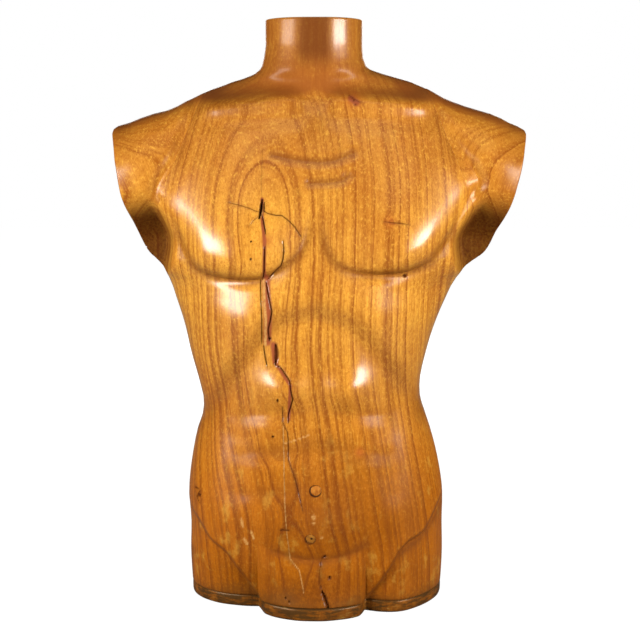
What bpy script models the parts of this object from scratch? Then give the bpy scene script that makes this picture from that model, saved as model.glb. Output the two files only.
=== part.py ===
"""Carved wooden torso form: two hollow carved halves, two shoulder blocks, a base board,
two face plugs, and the dowels and screws that hold them together.  Millimetres inside the
shape functions, metres in the objects.  Front faces -Y, up is +Z."""
import math

import bmesh
import bpy
import numpy as np
from mathutils import Matrix, Vector

MM = 0.001

# ---------------------------------------------------------------- driving dimensions (mm)
HEIGHT = 690.0            # flat neck top above the floor
BASE_THICK = 15.0         # base board
GAP = 0.15                # half the clearance between two touching pieces
WALL = 34.0               # wood left around the hollow
HOLLOW_TOP = 545.0
NAVEL = (0.0, 154.0)      # x, z of the peg
NAVEL_DIAMETER = 12.0
KNOT_PLUG = (-6.0, 96.0)
KNOT_PLUG_DIAMETER = 11.0
PLUG_LENGTH = 20.0
DOWEL_DIAMETER = 12.0
DOWEL_LENGTH = 52.0
SEAM_DOWELS = ((-138, 60), (138, 60), (-118, 235), (110, 235), (-148, 385), (144, 385),
               (-38, 640), (38, 640))
SHOULDER_DOWELS = (545, 490)            # heights of the two dowels in each shoulder joint
SHOULDER_DOWEL_Y = -25.0
SHOULDER_PLANE = (147.0, 565.0, 0.40)   # x at this z, and growth of x per mm down
SHOULDER_LOW = (426.0, 423.0)           # lowest and highest level of the left and right blocks
SHOULDER_TOP = (607.5, 612.0)
BASE_SCREWS = ((-128, -26), (-42, -84), (42, -82), (130, -26),
               (-118, 46), (-46, 84), (46, 84), (118, 46))
SCREW_HEAD = 9.0
SCREW_SHANK = 4.5
SCREW_LENGTH = 45.0

# half widths of the trunk side and, above the armpit, of the flat arm cut: (height, left, right)
FLANKS = ((-150, 152, 153), (0, 153, 154), (52, 155, 156), (91, 154, 155), (130, 156, 155),
          (168, 152, 149), (206, 144, 139), (224, 138, 133), (243, 137, 127), (262, 141, 126),
          (299, 151, 133), (336, 159, 144), (365, 168, 156), (390, 176.5, 169), (400, 182, 177.5),
          (407, 188, 186), (414, 195, 196), (419, 199.5, 201.5), (429, 205.5, 208),
          (444, 211.5, 214), (459, 216, 220.5), (474, 221, 225.5), (488, 224.5, 229),
          (502, 227, 232.5), (516, 229, 236), (530, 231.5, 239), (543, 233.5, 241.5),
          (557, 237, 245), (568, 241, 248))
# neck and shoulder line from the neck top down to the arm tip: (height, left, right)
SHOULDER_LINE = ((850, 59, 55), (691, 59, 54.5), (661, 59, 54.5), (648, 61, 55.5), (638, 63.5, 59),
                 (634, 66, 64), (629, 72, 79), (624, 84, 97), (620, 98, 111), (615, 111, 123),
                 (611, 123, 133), (606, 135, 142), (601, 145, 151), (597, 154, 161),
                 (592, 163, 175), (587, 175, 192), (583, 192, 206), (578, 207, 218),
                 (573, 219, 227), (569, 233, 237), (564, 241, 246))
ARM_LOW = 418.0           # above this height the side is the arm cut

# depth of the centre line, front and back: (height, depth)
FRONT_DEPTH = ((-40, 71), (0, 73), (30, 80), (60, 91), (90, 98), (120, 103), (155, 104),
               (200, 101), (243, 97), (280, 97), (320, 101), (350, 102.5), (375, 101), (400, 100),
               (430, 101), (460, 99), (490, 94), (520, 87), (560, 76), (590, 67), (606, 62),
               (625, 58), (650, 55.5), (690, 56.5))
BACK_DEPTH = ((-40, 96), (0, 99), (30, 105), (60, 107), (100, 100), (140, 85), (180, 73),
              (210, 69), (250, 73), (300, 85), (350, 97), (400, 106), (450, 111), (500, 109),
              (540, 101), (570, 90), (600, 77), (620, 69), (650, 64), (690, 63))
ARM_FRONT, ARM_BACK = 55.0, 60.0

# lines carved in the front: (x, z)
PEC_EDGE = (((-120, 660), (-146, 566), (-164, 528), (-183, 496), (-178, 480), (-166, 462),
             (-160, 452), (-152, 431), (-141, 412), (-124, 401), (-96, 396), (-68, 396),
             (-50, 402), (-35, 411), (-20, 424), (-11, 440), (-6, 470), (-4, 560), (-4, 720)),
            ((110, 660), (144, 566), (162, 540), (187, 508), (178, 492), (171, 480), (155, 448),
             (138, 425), (127, 414), (105, 405), (83, 402), (55, 403), (32, 409), (18, 420),
             (10, 438), (6, 470), (4, 560), (4, 720)))
SHOULDER_GROOVE = (((-140, 592), (-147, 566), (-160, 528), (-181, 490)),
                   ((138, 580), (158, 543), (180, 510), (190, 470)))
CLAVICLE = (((-16, 598), (-45, 597), (-80, 594), (-143, 591)),
            ((12, 598), (45, 597), (75, 595), (136, 592)))
STERNAL_CREASES = (((-48, 536), (-18, 530), (16, 529), (42, 538)),
                   ((-7, 505), (26, 507), (36, 513)))
RIB_ARCH = (((-128, 236), (-108, 268), (-90, 298), (-68, 328), (-40, 353), (0, 362)),
            ((124, 232), (106, 264), (86, 296), (64, 326), (38, 351), (0, 362)))
GROIN = (((-165, 125), (-140, 106), (-125, 87), (-106, 74), (-93, 55), (-84, 42), (-73, 23),
          (-62, 5), (-50, -25)),
         ((165, 140), (146, 123), (128, 97), (109, 88), (98, 77), (89, 61), (82, 50), (75, 39),
          (64, 23), (52, 2), (44, -25)))
# inner edge of the hollow under each arm stump: (height, half width left, half width right)
ARMPIT_EDGE = ((380, 186, 180), (392, 178, 172), (412, 169, 163), (436, 165, 160),
               (458, 171, 170), (486, 186, 188), (500, 196, 198), (520, 214, 216))
# soft swellings and hollows of the front: (x, z, reach in x, reach in z, height)
FRONT_FORMS = ((-205, 515, 30, 48, 6), (208, 520, 30, 48, 6), (0, 607, 24, 16, -4),
               (-37, 270, 31, 22, 10.5), (37, 270, 30, 23, 11), (-46, 225, 36, 15, 3.4),
               (46, 225, 36, 15, 2.6), (-46, 180, 36, 13, 2.8), (44, 180, 34, 13, 1.8),
               (0, 112, 74, 36, 3), (-119, 262, 16, 30, -4), (107, 262, 16, 30, -4),
               (96, 0, 48, 60, 21),
               (-112, 360, 40, 30, 3), (108, 360, 40, 30, 3))
BACK_FORMS = ((-86, 470, 36, 50, 8), (86, 470, 36, 50, 8), (-30, 205, 15, 75, 5),
              (30, 205, 15, 75, 5), (-68, 42, 46, 46, 13), (68, 42, 46, 46, 13),
              (-125, 150, 26, 40, -4), (125, 150, 26, 40, -4), (0, 600, 40, 26, 5),
              (-140, 415, 26, 50, 5), (140, 415, 26, 50, 5))


# ---------------------------------------------------------------- shape helpers
def curve(table, at, column=1):
    """Smooth curve through the rows of a table."""
    rows = sorted((row[0], row[column]) for row in table)
    xs, ys = np.array(rows, float).T
    slope = np.gradient(ys, xs)
    at = np.asarray(at, float)
    i = np.clip(np.searchsorted(xs, at) - 1, 0, len(xs) - 2)
    h = xs[i + 1] - xs[i]
    u = np.clip((at - xs[i]) / h, 0.0, 1.0)
    return (ys[i] * (1 + 2 * u) * (1 - u) ** 2 + slope[i] * h * u * (1 - u) ** 2
            + ys[i + 1] * u * u * (3 - 2 * u) + slope[i + 1] * h * u * u * (u - 1))


def ease(low, high, at):
    u = np.clip((np.asarray(at, float) - low) / (high - low), 0.0, 1.0)
    return u * u * (3 - 2 * u)


def near_line(points, x, z):
    """Distance to an open line, and the signed distance (positive on the line's left)."""
    best = np.full(np.shape(x), 1e9)
    side = np.ones(np.shape(x))
    for (ax, az), (bx, bz) in zip(points, points[1:]):
        dx, dz = bx - ax, bz - az
        u = np.clip(((x - ax) * dx + (z - az) * dz) / (dx * dx + dz * dz), 0.0, 1.0)
        gap = np.hypot(x - ax - u * dx, z - az - u * dz)
        turn = np.sign(dx * (z - az) - dz * (x - ax))
        side = np.where(gap < best - 1e-6, turn, side)
        best = np.minimum(best, gap)
    return best, best * side


def outline_points():
    """The outline seen from the front, one side at a time, with the arms carried on outward."""
    sides = []
    for sign, column in ((-1, 1), (1, 2)):
        up = [(sign * float(curve(FLANKS, z, column)), z) for z in
              list(range(-150, 400, 12)) + [403, 409, 414]]
        up += [(sign * 300.0, 384.0)]
        line = [(sign * row[column], float(row[0])) for row in SHOULDER_LINE]
        sides.append((up, line + [(sign * 300.0, 545.0)]))
    return sides


OUTLINE = outline_points()


def edge_distance(x, z):
    best = np.full(np.shape(x), 1e9)
    for up, line in OUTLINE:
        for points in (up, line):
            best = np.minimum(best, near_line(points, x, z)[0])
    return best


def rounding(x, z):
    """0 at the outline, 1 where the face has turned fully to the front."""
    side = np.abs(x)
    reach_x = curve(((0, 122), (110, 122), (150, 98), (190, 76), (230, 66), (300, 62)), side)
    reach_x = np.where(z > 400, reach_x, 122.0 - ease(380, 400, z) * (122.0 - reach_x))
    reach_z = curve(((-100, 80), (60, 80), (160, 88), (250, 92), (330, 102), (400, 104),
                     (480, 106), (520, 104), (560, 88), (600, 66), (630, 55), (690, 53)), z)
    t = np.clip(edge_distance(x, z) / np.minimum(reach_x, reach_z), 0.0, 1.0)
    power = 2.3 + 0.7 * ease(380, 420, z) * (1 - ease(500, 550, z))
    return (1.0 - (1.0 - t) ** power) ** (1 / power)


def smooth_line(points, steps=4):
    """Refine an open line into a smooth one through the same points."""
    rows = np.array(points, float)
    rows = np.vstack([2 * rows[0] - rows[1], rows, 2 * rows[-1] - rows[-2]])
    made = []
    for a, b, c, d in zip(rows, rows[1:], rows[2:], rows[3:]):
        for u in np.linspace(0, 1, steps, endpoint=False):
            made.append(0.5 * (2 * b + (c - a) * u + (2 * a - 5 * b + 4 * c - d) * u * u
                               + (3 * b - a - 3 * c + d) * u ** 3))
    return [tuple(p) for p in made] + [tuple(rows[-2])]


PEC_LINES, RIB_LINES, GROIN_LINES, GROOVE_LINES, CLAVICLE_LINES, CREASE_LINES = (
    [smooth_line(line) for line in group] for group in
    (PEC_EDGE, RIB_ARCH, GROIN, SHOULDER_GROOVE, CLAVICLE, STERNAL_CREASES))


def forms(table, x, z):
    total = np.zeros(np.shape(x))
    for cx, cz, rx, rz, height in table:
        total = total + height * np.exp(-((x - cx) / rx) ** 2 - ((z - cz) / rz) ** 2)
    return total


def armpit_field(x, z, low=432, high=502):
    """1 in the hollow under each arm stump, 0 away from it."""
    outside = np.abs(x) - np.where(x < 0, curve(ARMPIT_EDGE, z), curve(ARMPIT_EDGE, z, 2))
    return ease(-5, 15, outside) * (1 - ease(low, high, z + 0.2 * (np.abs(x) - 186)))


def front(x, z):
    """Depth of the carved front surface ahead of the middle plane."""
    x, z = np.broadcast_arrays(np.asarray(x, float), np.asarray(z, float))
    arm = ease(115, 215, np.abs(x)) * ease(395, 440, z) * (1 - ease(610, 640, z))
    bow = 0.11 + 0.13 * ease(80, 200, z) * (1 - 0.45 * ease(370, 420, z))
    bow = bow * (1 - 0.5 * ease(540, 600, z))
    centre = curve(FRONT_DEPTH, z) * (1 - bow * np.minimum((x / 150) ** 2, 1.5)
                                      * (1 - ease(600, 640, z)))
    depth = centre * (1 - arm) + ARM_FRONT * arm
    turn = rounding(x, z)
    soft = forms(FRONT_FORMS, x, z)
    for sign, (edge, cx, cz) in zip((1, -1), ((PEC_LINES[0], -94, 417), (PEC_LINES[1], 106, 421))):
        _, inside = near_line(edge, x, z)
        inside = inside * sign
        here = ease(-6, 10, -x * sign)
        reach = np.where(z > cz, 76, 90)
        wide = np.where(np.abs(x) > abs(cx), 84, 54)
        swell = np.exp(-((x - cx) / wide) ** 2 - ((z - cz) / reach) ** 2)
        lip = np.clip(inside / 27, 0, 1)
        lip = np.sqrt(1 - (1 - lip) ** 2) * ease(-3, 5, inside)
        soft = soft + here * (18.5 * swell * lip - 2.2 * ease(16, 60, np.abs(x))
                              * np.exp(-((inside + 3) / 7) ** 2))
    for edge in CREASE_LINES:
        soft = soft - 2.0 * np.exp(-(near_line(edge, x, z)[0] / 5) ** 2)
    collar = ease(2, 34, np.abs(x)) * (1 - ease(112, 150, np.abs(x)))
    for edge in CLAVICLE_LINES:
        gap, above = near_line(edge, x, z)
        above = above * (1 if edge[0][0] > edge[-1][0] else -1) * -1
        reach = np.exp(-(np.maximum(gap - 24, 0) / 12) ** 2)
        soft = soft + collar * (5.0 * np.exp(-(gap / 10) ** 2)
                                - 6.0 * reach * np.exp(-((above - 18) / 12) ** 2)
                                - 2.5 * reach * np.exp(-((above + 21) / 13) ** 2))
    for edge in GROOVE_LINES:
        soft = soft - 4.5 * np.exp(-(near_line(edge, x, z)[0] / 13) ** 2)
    for sign, edge in zip((1, -1), RIB_LINES):
        above = near_line(edge, x, z)[1] * sign
        here = ease(-8, 8, -x * sign) * ease(225, 260, z)
        soft = soft + here * (4.5 * ease(-14, 15, above) * (1 - ease(20, 75, above))
                              - 1.2 * np.exp(-((above + 12) / 10) ** 2))
    middle = ease(150, 180, z) * (1 - ease(345, 370, z))
    soft = soft - 1.4 * np.exp(-(x / 13) ** 2) * middle
    soft = soft - 1.5 * np.exp(-(x / 26) ** 2) * ease(415, 445, z) * (1 - ease(545, 590, z))
    for cx in (-98, 91):
        soft = soft - 1.8 * np.exp(-((x - cx) / 16) ** 2) * ease(120, 150, z) * (
            1 - ease(275, 305, z))
    belly = 1.0
    for sign, edge in zip((1, -1), GROIN_LINES):
        belly = belly * ease(-3, 3.5, near_line(edge, x, z)[1] * sign)
    soft = soft + 7.0 * belly * (1 - ease(95, 240, z))
    across = np.clip(1 - ((x + 5) / 63) ** 2, 0, 1) ** 0.62
    crease = 68.0 + 0.0045 * x * x      # height of the fold above the middle swelling
    soft = soft + 43.0 * across * np.clip(1 - z / crease, 0, 1.2) ** 0.9
    depth = turn * depth + soft * ease(0.0, 0.5, turn)
    return depth * (1 - 0.90 * armpit_field(x, z))


def back(x, z):
    """Depth of the back surface behind the middle plane."""
    x, z = np.broadcast_arrays(np.asarray(x, float), np.asarray(z, float))
    arm = ease(115, 215, np.abs(x)) * ease(395, 440, z) * (1 - ease(610, 640, z))
    centre = curve(BACK_DEPTH, z) * (1 - 0.12 * np.minimum((x / 150) ** 2, 1.5)
                                     * (1 - ease(600, 640, z)))
    depth = centre * (1 - arm) + ARM_BACK * arm
    turn = rounding(x, z)
    soft = forms(BACK_FORMS, x, z)
    soft = soft - 9.0 * np.exp(-(x / 14) ** 2) * ease(95, 150, z) * (1 - ease(520, 600, z))
    soft = soft - 26.0 * np.exp(-(x / 8) ** 2) * (1 - ease(55, 100, z))
    return turn * depth + soft * ease(0.0, 0.5, turn)


def side_end(z, sign):
    """Half width on one side at height z: trunk side, arm cut, then shoulder line."""
    column = 1 if sign < 0 else 2
    line = np.array([(row[0], row[column]) for row in SHOULDER_LINE[::-1]]).T
    above = np.where(z > 560, np.interp(z, *line), 400.0)
    return np.where(z < 568, np.minimum(curve(FLANKS, z, column), above), above)


def plane_end(z):
    at, height, grow = SHOULDER_PLANE
    return at + grow * (height - np.asarray(z, float))


# ---------------------------------------------------------------- mesh helpers
def clear_scene():
    for ob in list(bpy.data.objects):
        bpy.data.objects.remove(ob, do_unlink=True)


def collection(name):
    group = bpy.data.collections.new(name)
    bpy.context.scene.collection.children.link(group)
    return group


def paint(ob, name, rgb, rough, metal=0.0):
    mat = bpy.data.materials.new(name)
    mat.use_nodes = True
    shader = mat.node_tree.nodes["Principled BSDF"]
    shader.inputs["Base Color"].default_value = (*rgb, 1.0)
    shader.inputs["Roughness"].default_value = rough
    shader.inputs["Metallic"].default_value = metal
    ob.data.materials.clear()
    ob.data.materials.append(mat)


def add_object(name, mesh, group):
    ob = bpy.data.objects.new(name, mesh)
    group.objects.link(ob)
    return ob


def loft(name, rings, group):
    """Closed solid through rings of equal length, capped at both ends."""
    bm = bmesh.new()
    rows = [[bm.verts.new(Vector(p) * MM) for p in ring] for ring in rings]
    for low, high in zip(rows, rows[1:]):
        for i in range(len(low)):
            j = (i + 1) % len(low)
            bm.faces.new((low[i], low[j], high[j], high[i]))
    bm.faces.new(rows[0][::-1])
    bm.faces.new(rows[-1])
    bmesh.ops.triangulate(bm, faces=bm.faces[:])
    bmesh.ops.recalc_face_normals(bm, faces=bm.faces[:])
    mesh = bpy.data.meshes.new(name)
    bm.to_mesh(mesh)
    bm.free()
    return add_object(name, mesh, group)


def cylinder(name, radius, length, centre, direction, group, sides=16, chamfer=0.0, tip=None):
    bm = bmesh.new()
    bmesh.ops.create_cone(bm, cap_ends=True, segments=sides, radius1=radius * MM,
                          radius2=(radius if tip is None else tip) * MM, depth=length * MM)
    if chamfer:
        rims = [e for e in bm.edges if abs(e.verts[0].co.z - e.verts[1].co.z) < 1e-7]
        bmesh.ops.bevel(bm, geom=rims, offset=chamfer * MM, segments=1, affect="EDGES")
    turn = Vector((0, 0, 1)).rotation_difference(Vector(direction)).to_matrix().to_4x4()
    bmesh.ops.transform(bm, matrix=Matrix.Translation(Vector(centre) * MM) @ turn, verts=bm.verts)
    mesh = bpy.data.meshes.new(name)
    bm.to_mesh(mesh)
    bm.free()
    return add_object(name, mesh, group)


def cut(ob, cutter):
    mod = ob.modifiers.new("cut_" + cutter.name, "BOOLEAN")
    mod.operation = "DIFFERENCE"
    mod.solver = "EXACT"
    mod.object = cutter


clear_scene()
PARTS = collection("carved_torso_form")
CUTTERS = collection("cutters")


def cutter(ob):
    ob.hide_render = True
    ob.display_type = "WIRE"
    return ob


# ---------------------------------------------------------------- carved halves
LEVELS = [BASE_THICK + GAP, 34, 52, 68, 84, 104, 126, 150, 175, 200, 225, 250, 275, 300, 325,
          350, 370, 385, 396, 405, 413, 421, 430, 440, 452, 466, 482, 500, 520, 540, 555, 566,
          575, 583, 590, 596, 602, 608, 614, 620, 625, 630, 636, 645, 660, HEIGHT]
ACROSS = 34
SPREAD = -np.cos(np.linspace(0, math.pi, ACROSS)) * 0.5


def half(name, depth_of, sign, group):
    rings = []
    for z in LEVELS:
        ends = []
        for side in (-1, 1):
            end = float(side_end(z, side))
            ends.append(side * min(end, float(plane_end(z)) - GAP if z > ARM_LOW else end))
        left, right = ends
        x = (left + right) / 2 + (right - left) * SPREAD
        y = sign * np.maximum(depth_of(x, np.full(x.shape, z)), 0.6)
        ring = [(a, b, z) for a, b in zip(x, y)]
        ring += [(right - 0.2, sign * GAP, z), (left + 0.2, sign * GAP, z)]
        rings.append(ring)
    return loft(name, rings, group)


torso_front = half("torso_front", front, -1, PARTS)
torso_back = half("torso_back", back, 1, PARTS)


def hollow():
    """The core that is carved out of both halves, open at the bottom."""
    rings = []
    for z in (-20, 60, 120, 180, 240, 300, 350, 400, 440, 480, 515, 535, HOLLOW_TOP):
        shrink = 1 - 0.55 * ease(450, HOLLOW_TOP, z) ** 1.5
        width = float(min(side_end(min(z, 390), -1), side_end(min(z, 390), 1))) - WALL - 4
        ahead = float(curve(FRONT_DEPTH, z)) - WALL
        behind = float(curve(BACK_DEPTH, z)) - WALL - 8
        ring = []
        for a in np.linspace(0, 2 * math.pi, 24, endpoint=False):
            c, s = math.cos(a), math.sin(a)
            reach = (abs(c) ** 2.4 + abs(s) ** 2.4) ** (-1 / 2.4)
            ring.append((width * shrink * c * reach,
                         (behind if s > 0 else ahead) * shrink * s * reach, z))
        rings.append(ring)
    return cutter(loft("hollow_core", rings, CUTTERS))


core = hollow()
cut(torso_front, core)
cut(torso_back, core)


# ---------------------------------------------------------------- shoulder blocks
def shoulder(name, side):
    low, top = (ends[0 if side < 0 else 1] for ends in (SHOULDER_LOW, SHOULDER_TOP))
    levels = [low, low + 6, low + 14, 450, 462, 476, 491, 506, 521, 537, 550, 559, 566, 573, 579,
              585, 590, 595, 601, top]
    rings = []
    for z in levels:
        inner = float(plane_end(z)) + GAP
        ring = []
        for depth_of, sign, order in ((front, -1, 1), (back, 1, -1)):
            outer = max(float(side_end(z, side)), inner + 0.8)
            u = np.linspace(0, 1, 14)
            u = 0.4 * u + 0.6 * (0.5 - 0.5 * np.cos(u * math.pi))
            x = inner + (outer - inner) * u
            y = sign * np.maximum(depth_of(side * x, np.full(x.shape, z)), 0.6)
            points = [(side * a, b, z) for a, b in zip(x, y)]
            ring += points[::order]
        rings.append(ring)
    return loft(name, rings, PARTS)


shoulder_left = shoulder("shoulder_left", -1)
shoulder_right = shoulder("shoulder_right", 1)

# ---------------------------------------------------------------- base board
rings = []
for z, inset in ((0.0, 1.2), (1.6, 0.0), (BASE_THICK - GAP, 0.0)):
    left, right = -float(side_end(8, -1)) + inset, float(side_end(8, 1)) - inset
    x = (left + right) / 2 + (right - left) * SPREAD
    ahead = np.maximum(front(x, np.full(x.shape, 8.0)) - inset, 0.4)
    behind = np.maximum(back(x, np.full(x.shape, 8.0)) - inset, 0.4)
    rings.append([(a, -b, z) for a, b in zip(x, ahead)]
                 + [(a, b, z) for a, b in zip(x[::-1], behind[::-1])])
base_board = loft("base_board", rings, PARTS)


# ---------------------------------------------------------------- plugs, dowels, screws
def face_plug(name, x, z, diameter):
    depth = float(front(x, z))
    slope = (float(front(x, z + 3)) - float(front(x, z - 3))) / 6.0
    out = Vector((0, -1, -slope)).normalized()
    face = Vector((x, -depth, z)) + out * 0.3
    peg = cylinder(name, diameter / 2, PLUG_LENGTH, face - out * (PLUG_LENGTH / 2), out, PARTS,
                   20, 0.5)
    hole = cutter(cylinder(name + "_hole", diameter / 2 + GAP * 2, PLUG_LENGTH + 20,
                           face - out * (PLUG_LENGTH / 2 - 10 + GAP * 2), out, CUTTERS, 20))
    cut(torso_front, hole)
    return peg


navel_peg = face_plug("navel_peg", *NAVEL, NAVEL_DIAMETER)
knot_plug = face_plug("knot_plug", *KNOT_PLUG, KNOT_PLUG_DIAMETER)

dowels = []
for number, (x, z) in enumerate(SEAM_DOWELS, 1):
    length = DOWEL_LENGTH if z < 600 else 40.0
    name = "seam_dowel_%d" % number
    dowels.append(cylinder(name, DOWEL_DIAMETER / 2, length, (x, 0, z), (0, 1, 0), PARTS,
                           12, 1.2))
    hole = cutter(cylinder(name + "_hole", DOWEL_DIAMETER / 2 + 2 * GAP, length + 2, (x, 0, z),
                           (0, 1, 0), CUTTERS, 12))
    cut(torso_front, hole)
    cut(torso_back, hole)

for side, block in ((-1, shoulder_left), (1, shoulder_right)):
    for number, z in enumerate(SHOULDER_DOWELS, 1):
        name = "shoulder_dowel_%s_%d" % ("left" if side < 0 else "right", number)
        away = Vector((side, 0, SHOULDER_PLANE[2])).normalized()
        centre = Vector((side * float(plane_end(z)), SHOULDER_DOWEL_Y, z))
        dowels.append(cylinder(name, DOWEL_DIAMETER / 2, DOWEL_LENGTH, centre, away, PARTS,
                               12, 1.2))
        hole = cutter(cylinder(name + "_hole", DOWEL_DIAMETER / 2 + 2 * GAP, DOWEL_LENGTH + 2,
                               centre, away, CUTTERS, 12))
        cut(torso_front, hole)
        cut(block, hole)


def turned(name, outline, x, y, group):
    """Solid of revolution about a vertical line, from (radius, height) points."""
    bm = bmesh.new()
    verts = [bm.verts.new((r * MM, 0, h * MM)) for r, h in outline]
    edges = [bm.edges.new(pair) for pair in zip(verts, verts[1:])]
    bmesh.ops.spin(bm, geom=verts + edges, cent=(0, 0, 0), axis=(0, 0, 1), angle=2 * math.pi,
                   steps=12)
    bmesh.ops.remove_doubles(bm, verts=bm.verts[:], dist=1e-6)
    bmesh.ops.translate(bm, verts=bm.verts[:], vec=Vector((x, y, 0)) * MM)
    bmesh.ops.recalc_face_normals(bm, faces=bm.faces[:])
    mesh = bpy.data.meshes.new(name)
    bm.to_mesh(mesh)
    bm.free()
    return add_object(name, mesh, group)


def block(name, size, centre, group):
    bm = bmesh.new()
    bmesh.ops.create_cube(bm, size=1.0)
    bmesh.ops.scale(bm, verts=bm.verts[:], vec=Vector(size) * MM)
    bmesh.ops.translate(bm, verts=bm.verts[:], vec=Vector(centre) * MM)
    mesh = bpy.data.meshes.new(name)
    bm.to_mesh(mesh)
    bm.free()
    return add_object(name, mesh, group)


HEAD, SHANK = SCREW_HEAD / 2, SCREW_SHANK / 2
SCREW_SHAPE = ((0, 1.0), (HEAD, 1.0), (HEAD, 1.5), (SHANK, 4.6), (SHANK, SCREW_LENGTH - 5),
               (0, SCREW_LENGTH))
HOLE_SHAPE = ((0, -4.0), (HEAD + 0.5, -4.0), (HEAD + 0.5, 1.7), (SHANK + 0.5, 4.8),
              (SHANK + 0.5, SCREW_LENGTH + 2), (0, SCREW_LENGTH + 2))
screws = []
for number, (x, y) in enumerate(BASE_SCREWS, 1):
    name = "base_screw_%d" % number
    screw = turned(name, SCREW_SHAPE, x, y, PARTS)
    screws.append(screw)
    cut(screw, cutter(block(name + "_slot", (SCREW_HEAD + 4, 1.4, 2.4), (x, y, 0.9), CUTTERS)))
    hole = cutter(turned(name + "_hole", HOLE_SHAPE, x, y, CUTTERS))
    cut(base_board, hole)
    cut(torso_front if y < 0 else torso_back, hole)

# ---------------------------------------------------------------- finish
PINE = (0.62, 0.33, 0.10)
for ob in (torso_front, torso_back, shoulder_left, shoulder_right):
    paint(ob, "varnished_pine", PINE, 0.3)
paint(base_board, "base_wood", (0.42, 0.24, 0.09), 0.4)
for ob in (navel_peg, knot_plug):
    paint(ob, "plug_wood", (0.45, 0.22, 0.07), 0.35)
for ob in dowels:
    paint(ob, "dowel_beech", (0.74, 0.56, 0.36), 0.6)
for ob in screws:
    paint(ob, "screw_steel", (0.45, 0.43, 0.40), 0.4, 1.0)
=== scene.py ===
"""Looks for the carved wooden torso form.

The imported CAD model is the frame.  The carved halves, the shoulder blocks, the base board and the
two face plugs are rebuilt here as fine surfaces from the same shape rules as the CAD, with the
cracks cut in; the hidden dowels and screws stay as packed and only get better materials.
Shape functions work in millimetres, objects are in metres.  The chest faces -Y, up is +Z."""
import math

import bmesh
import bpy
import numpy as np
from mathutils import Matrix, Vector


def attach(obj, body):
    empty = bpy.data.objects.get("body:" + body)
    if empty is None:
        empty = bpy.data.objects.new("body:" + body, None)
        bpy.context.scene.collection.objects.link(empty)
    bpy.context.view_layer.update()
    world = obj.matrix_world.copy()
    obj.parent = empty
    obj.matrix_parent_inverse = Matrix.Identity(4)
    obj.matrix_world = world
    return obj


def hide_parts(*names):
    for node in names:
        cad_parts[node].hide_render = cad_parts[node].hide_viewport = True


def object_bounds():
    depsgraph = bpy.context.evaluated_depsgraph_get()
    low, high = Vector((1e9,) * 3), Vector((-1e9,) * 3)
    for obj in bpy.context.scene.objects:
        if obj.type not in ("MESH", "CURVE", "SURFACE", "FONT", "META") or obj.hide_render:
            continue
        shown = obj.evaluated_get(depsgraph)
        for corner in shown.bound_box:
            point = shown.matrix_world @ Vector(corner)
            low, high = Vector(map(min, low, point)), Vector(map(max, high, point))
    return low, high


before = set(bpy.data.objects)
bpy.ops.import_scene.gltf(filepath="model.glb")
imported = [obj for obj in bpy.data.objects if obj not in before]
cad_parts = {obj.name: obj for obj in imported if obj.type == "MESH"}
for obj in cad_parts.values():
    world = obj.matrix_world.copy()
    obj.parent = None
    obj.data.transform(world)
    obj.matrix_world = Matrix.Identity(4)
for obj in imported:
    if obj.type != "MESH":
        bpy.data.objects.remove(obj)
CAD_BOX = [list(corner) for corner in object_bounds()]

MM = 0.001

# ---- driving dimensions (mm)
HEIGHT = 690.0            # flat neck top above the floor
BASE_THICK = 15.0         # base board
GAP = 0.15                # half the clearance between two touching pieces
NAVEL = (0.0, 154.0)      # x, z of the peg
NAVEL_DIAMETER = 12.0
KNOT_PLUG = (-6.0, 96.0)  # x, z of the lower plug
KNOT_PLUG_DIAMETER = 11.0
PLUG_LENGTH = 20.0
SHOULDER_PLANE = (147.0, 565.0, 0.40)   # x at this z, and growth of x per mm down
SHOULDER_LOW = (426.0, 423.0)           # lowest and highest level of the left and right blocks
SHOULDER_TOP = (607.5, 612.0)
BASE_SCREWS = ((-128, -26), (-42, -84), (42, -82), (130, -26),      # x, y
               (-118, 46), (-46, 84), (46, 84), (118, 46))
SCREW_HEAD = 9.0
SCREW_SHANK = 4.5

# half widths of the trunk side and, above the armpit, of the flat arm cut: (height, left, right)
FLANKS = ((-150, 152, 153), (0, 153, 154), (52, 155, 156), (91, 154, 155), (130, 156, 155),
          (168, 152, 149), (206, 144, 139), (224, 138, 133), (243, 137, 127), (262, 141, 126),
          (299, 151, 133), (336, 159, 144), (365, 168, 156), (390, 176.5, 169), (400, 182, 177.5),
          (407, 188, 186), (414, 195, 196), (419, 199.5, 201.5), (429, 205.5, 208),
          (444, 211.5, 214), (459, 216, 220.5), (474, 221, 225.5), (488, 224.5, 229),
          (502, 227, 232.5), (516, 229, 236), (530, 231.5, 239), (543, 233.5, 241.5),
          (557, 237, 245), (568, 241, 248))
# neck and shoulder line from the neck top down to the arm tip: (height, left, right)
SHOULDER_LINE = ((850, 59, 55), (691, 59, 54.5), (661, 59, 54.5), (648, 61, 55.5), (638, 63.5, 59),
                 (634, 66, 64), (629, 72, 79), (624, 84, 97), (620, 98, 111), (615, 111, 123),
                 (611, 123, 133), (606, 135, 142), (601, 145, 151), (597, 154, 161),
                 (592, 163, 175), (587, 175, 192), (583, 192, 206), (578, 207, 218),
                 (573, 219, 227), (569, 233, 237), (564, 241, 246))
ARM_LOW = 418.0           # above this height the side is the arm cut

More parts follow.
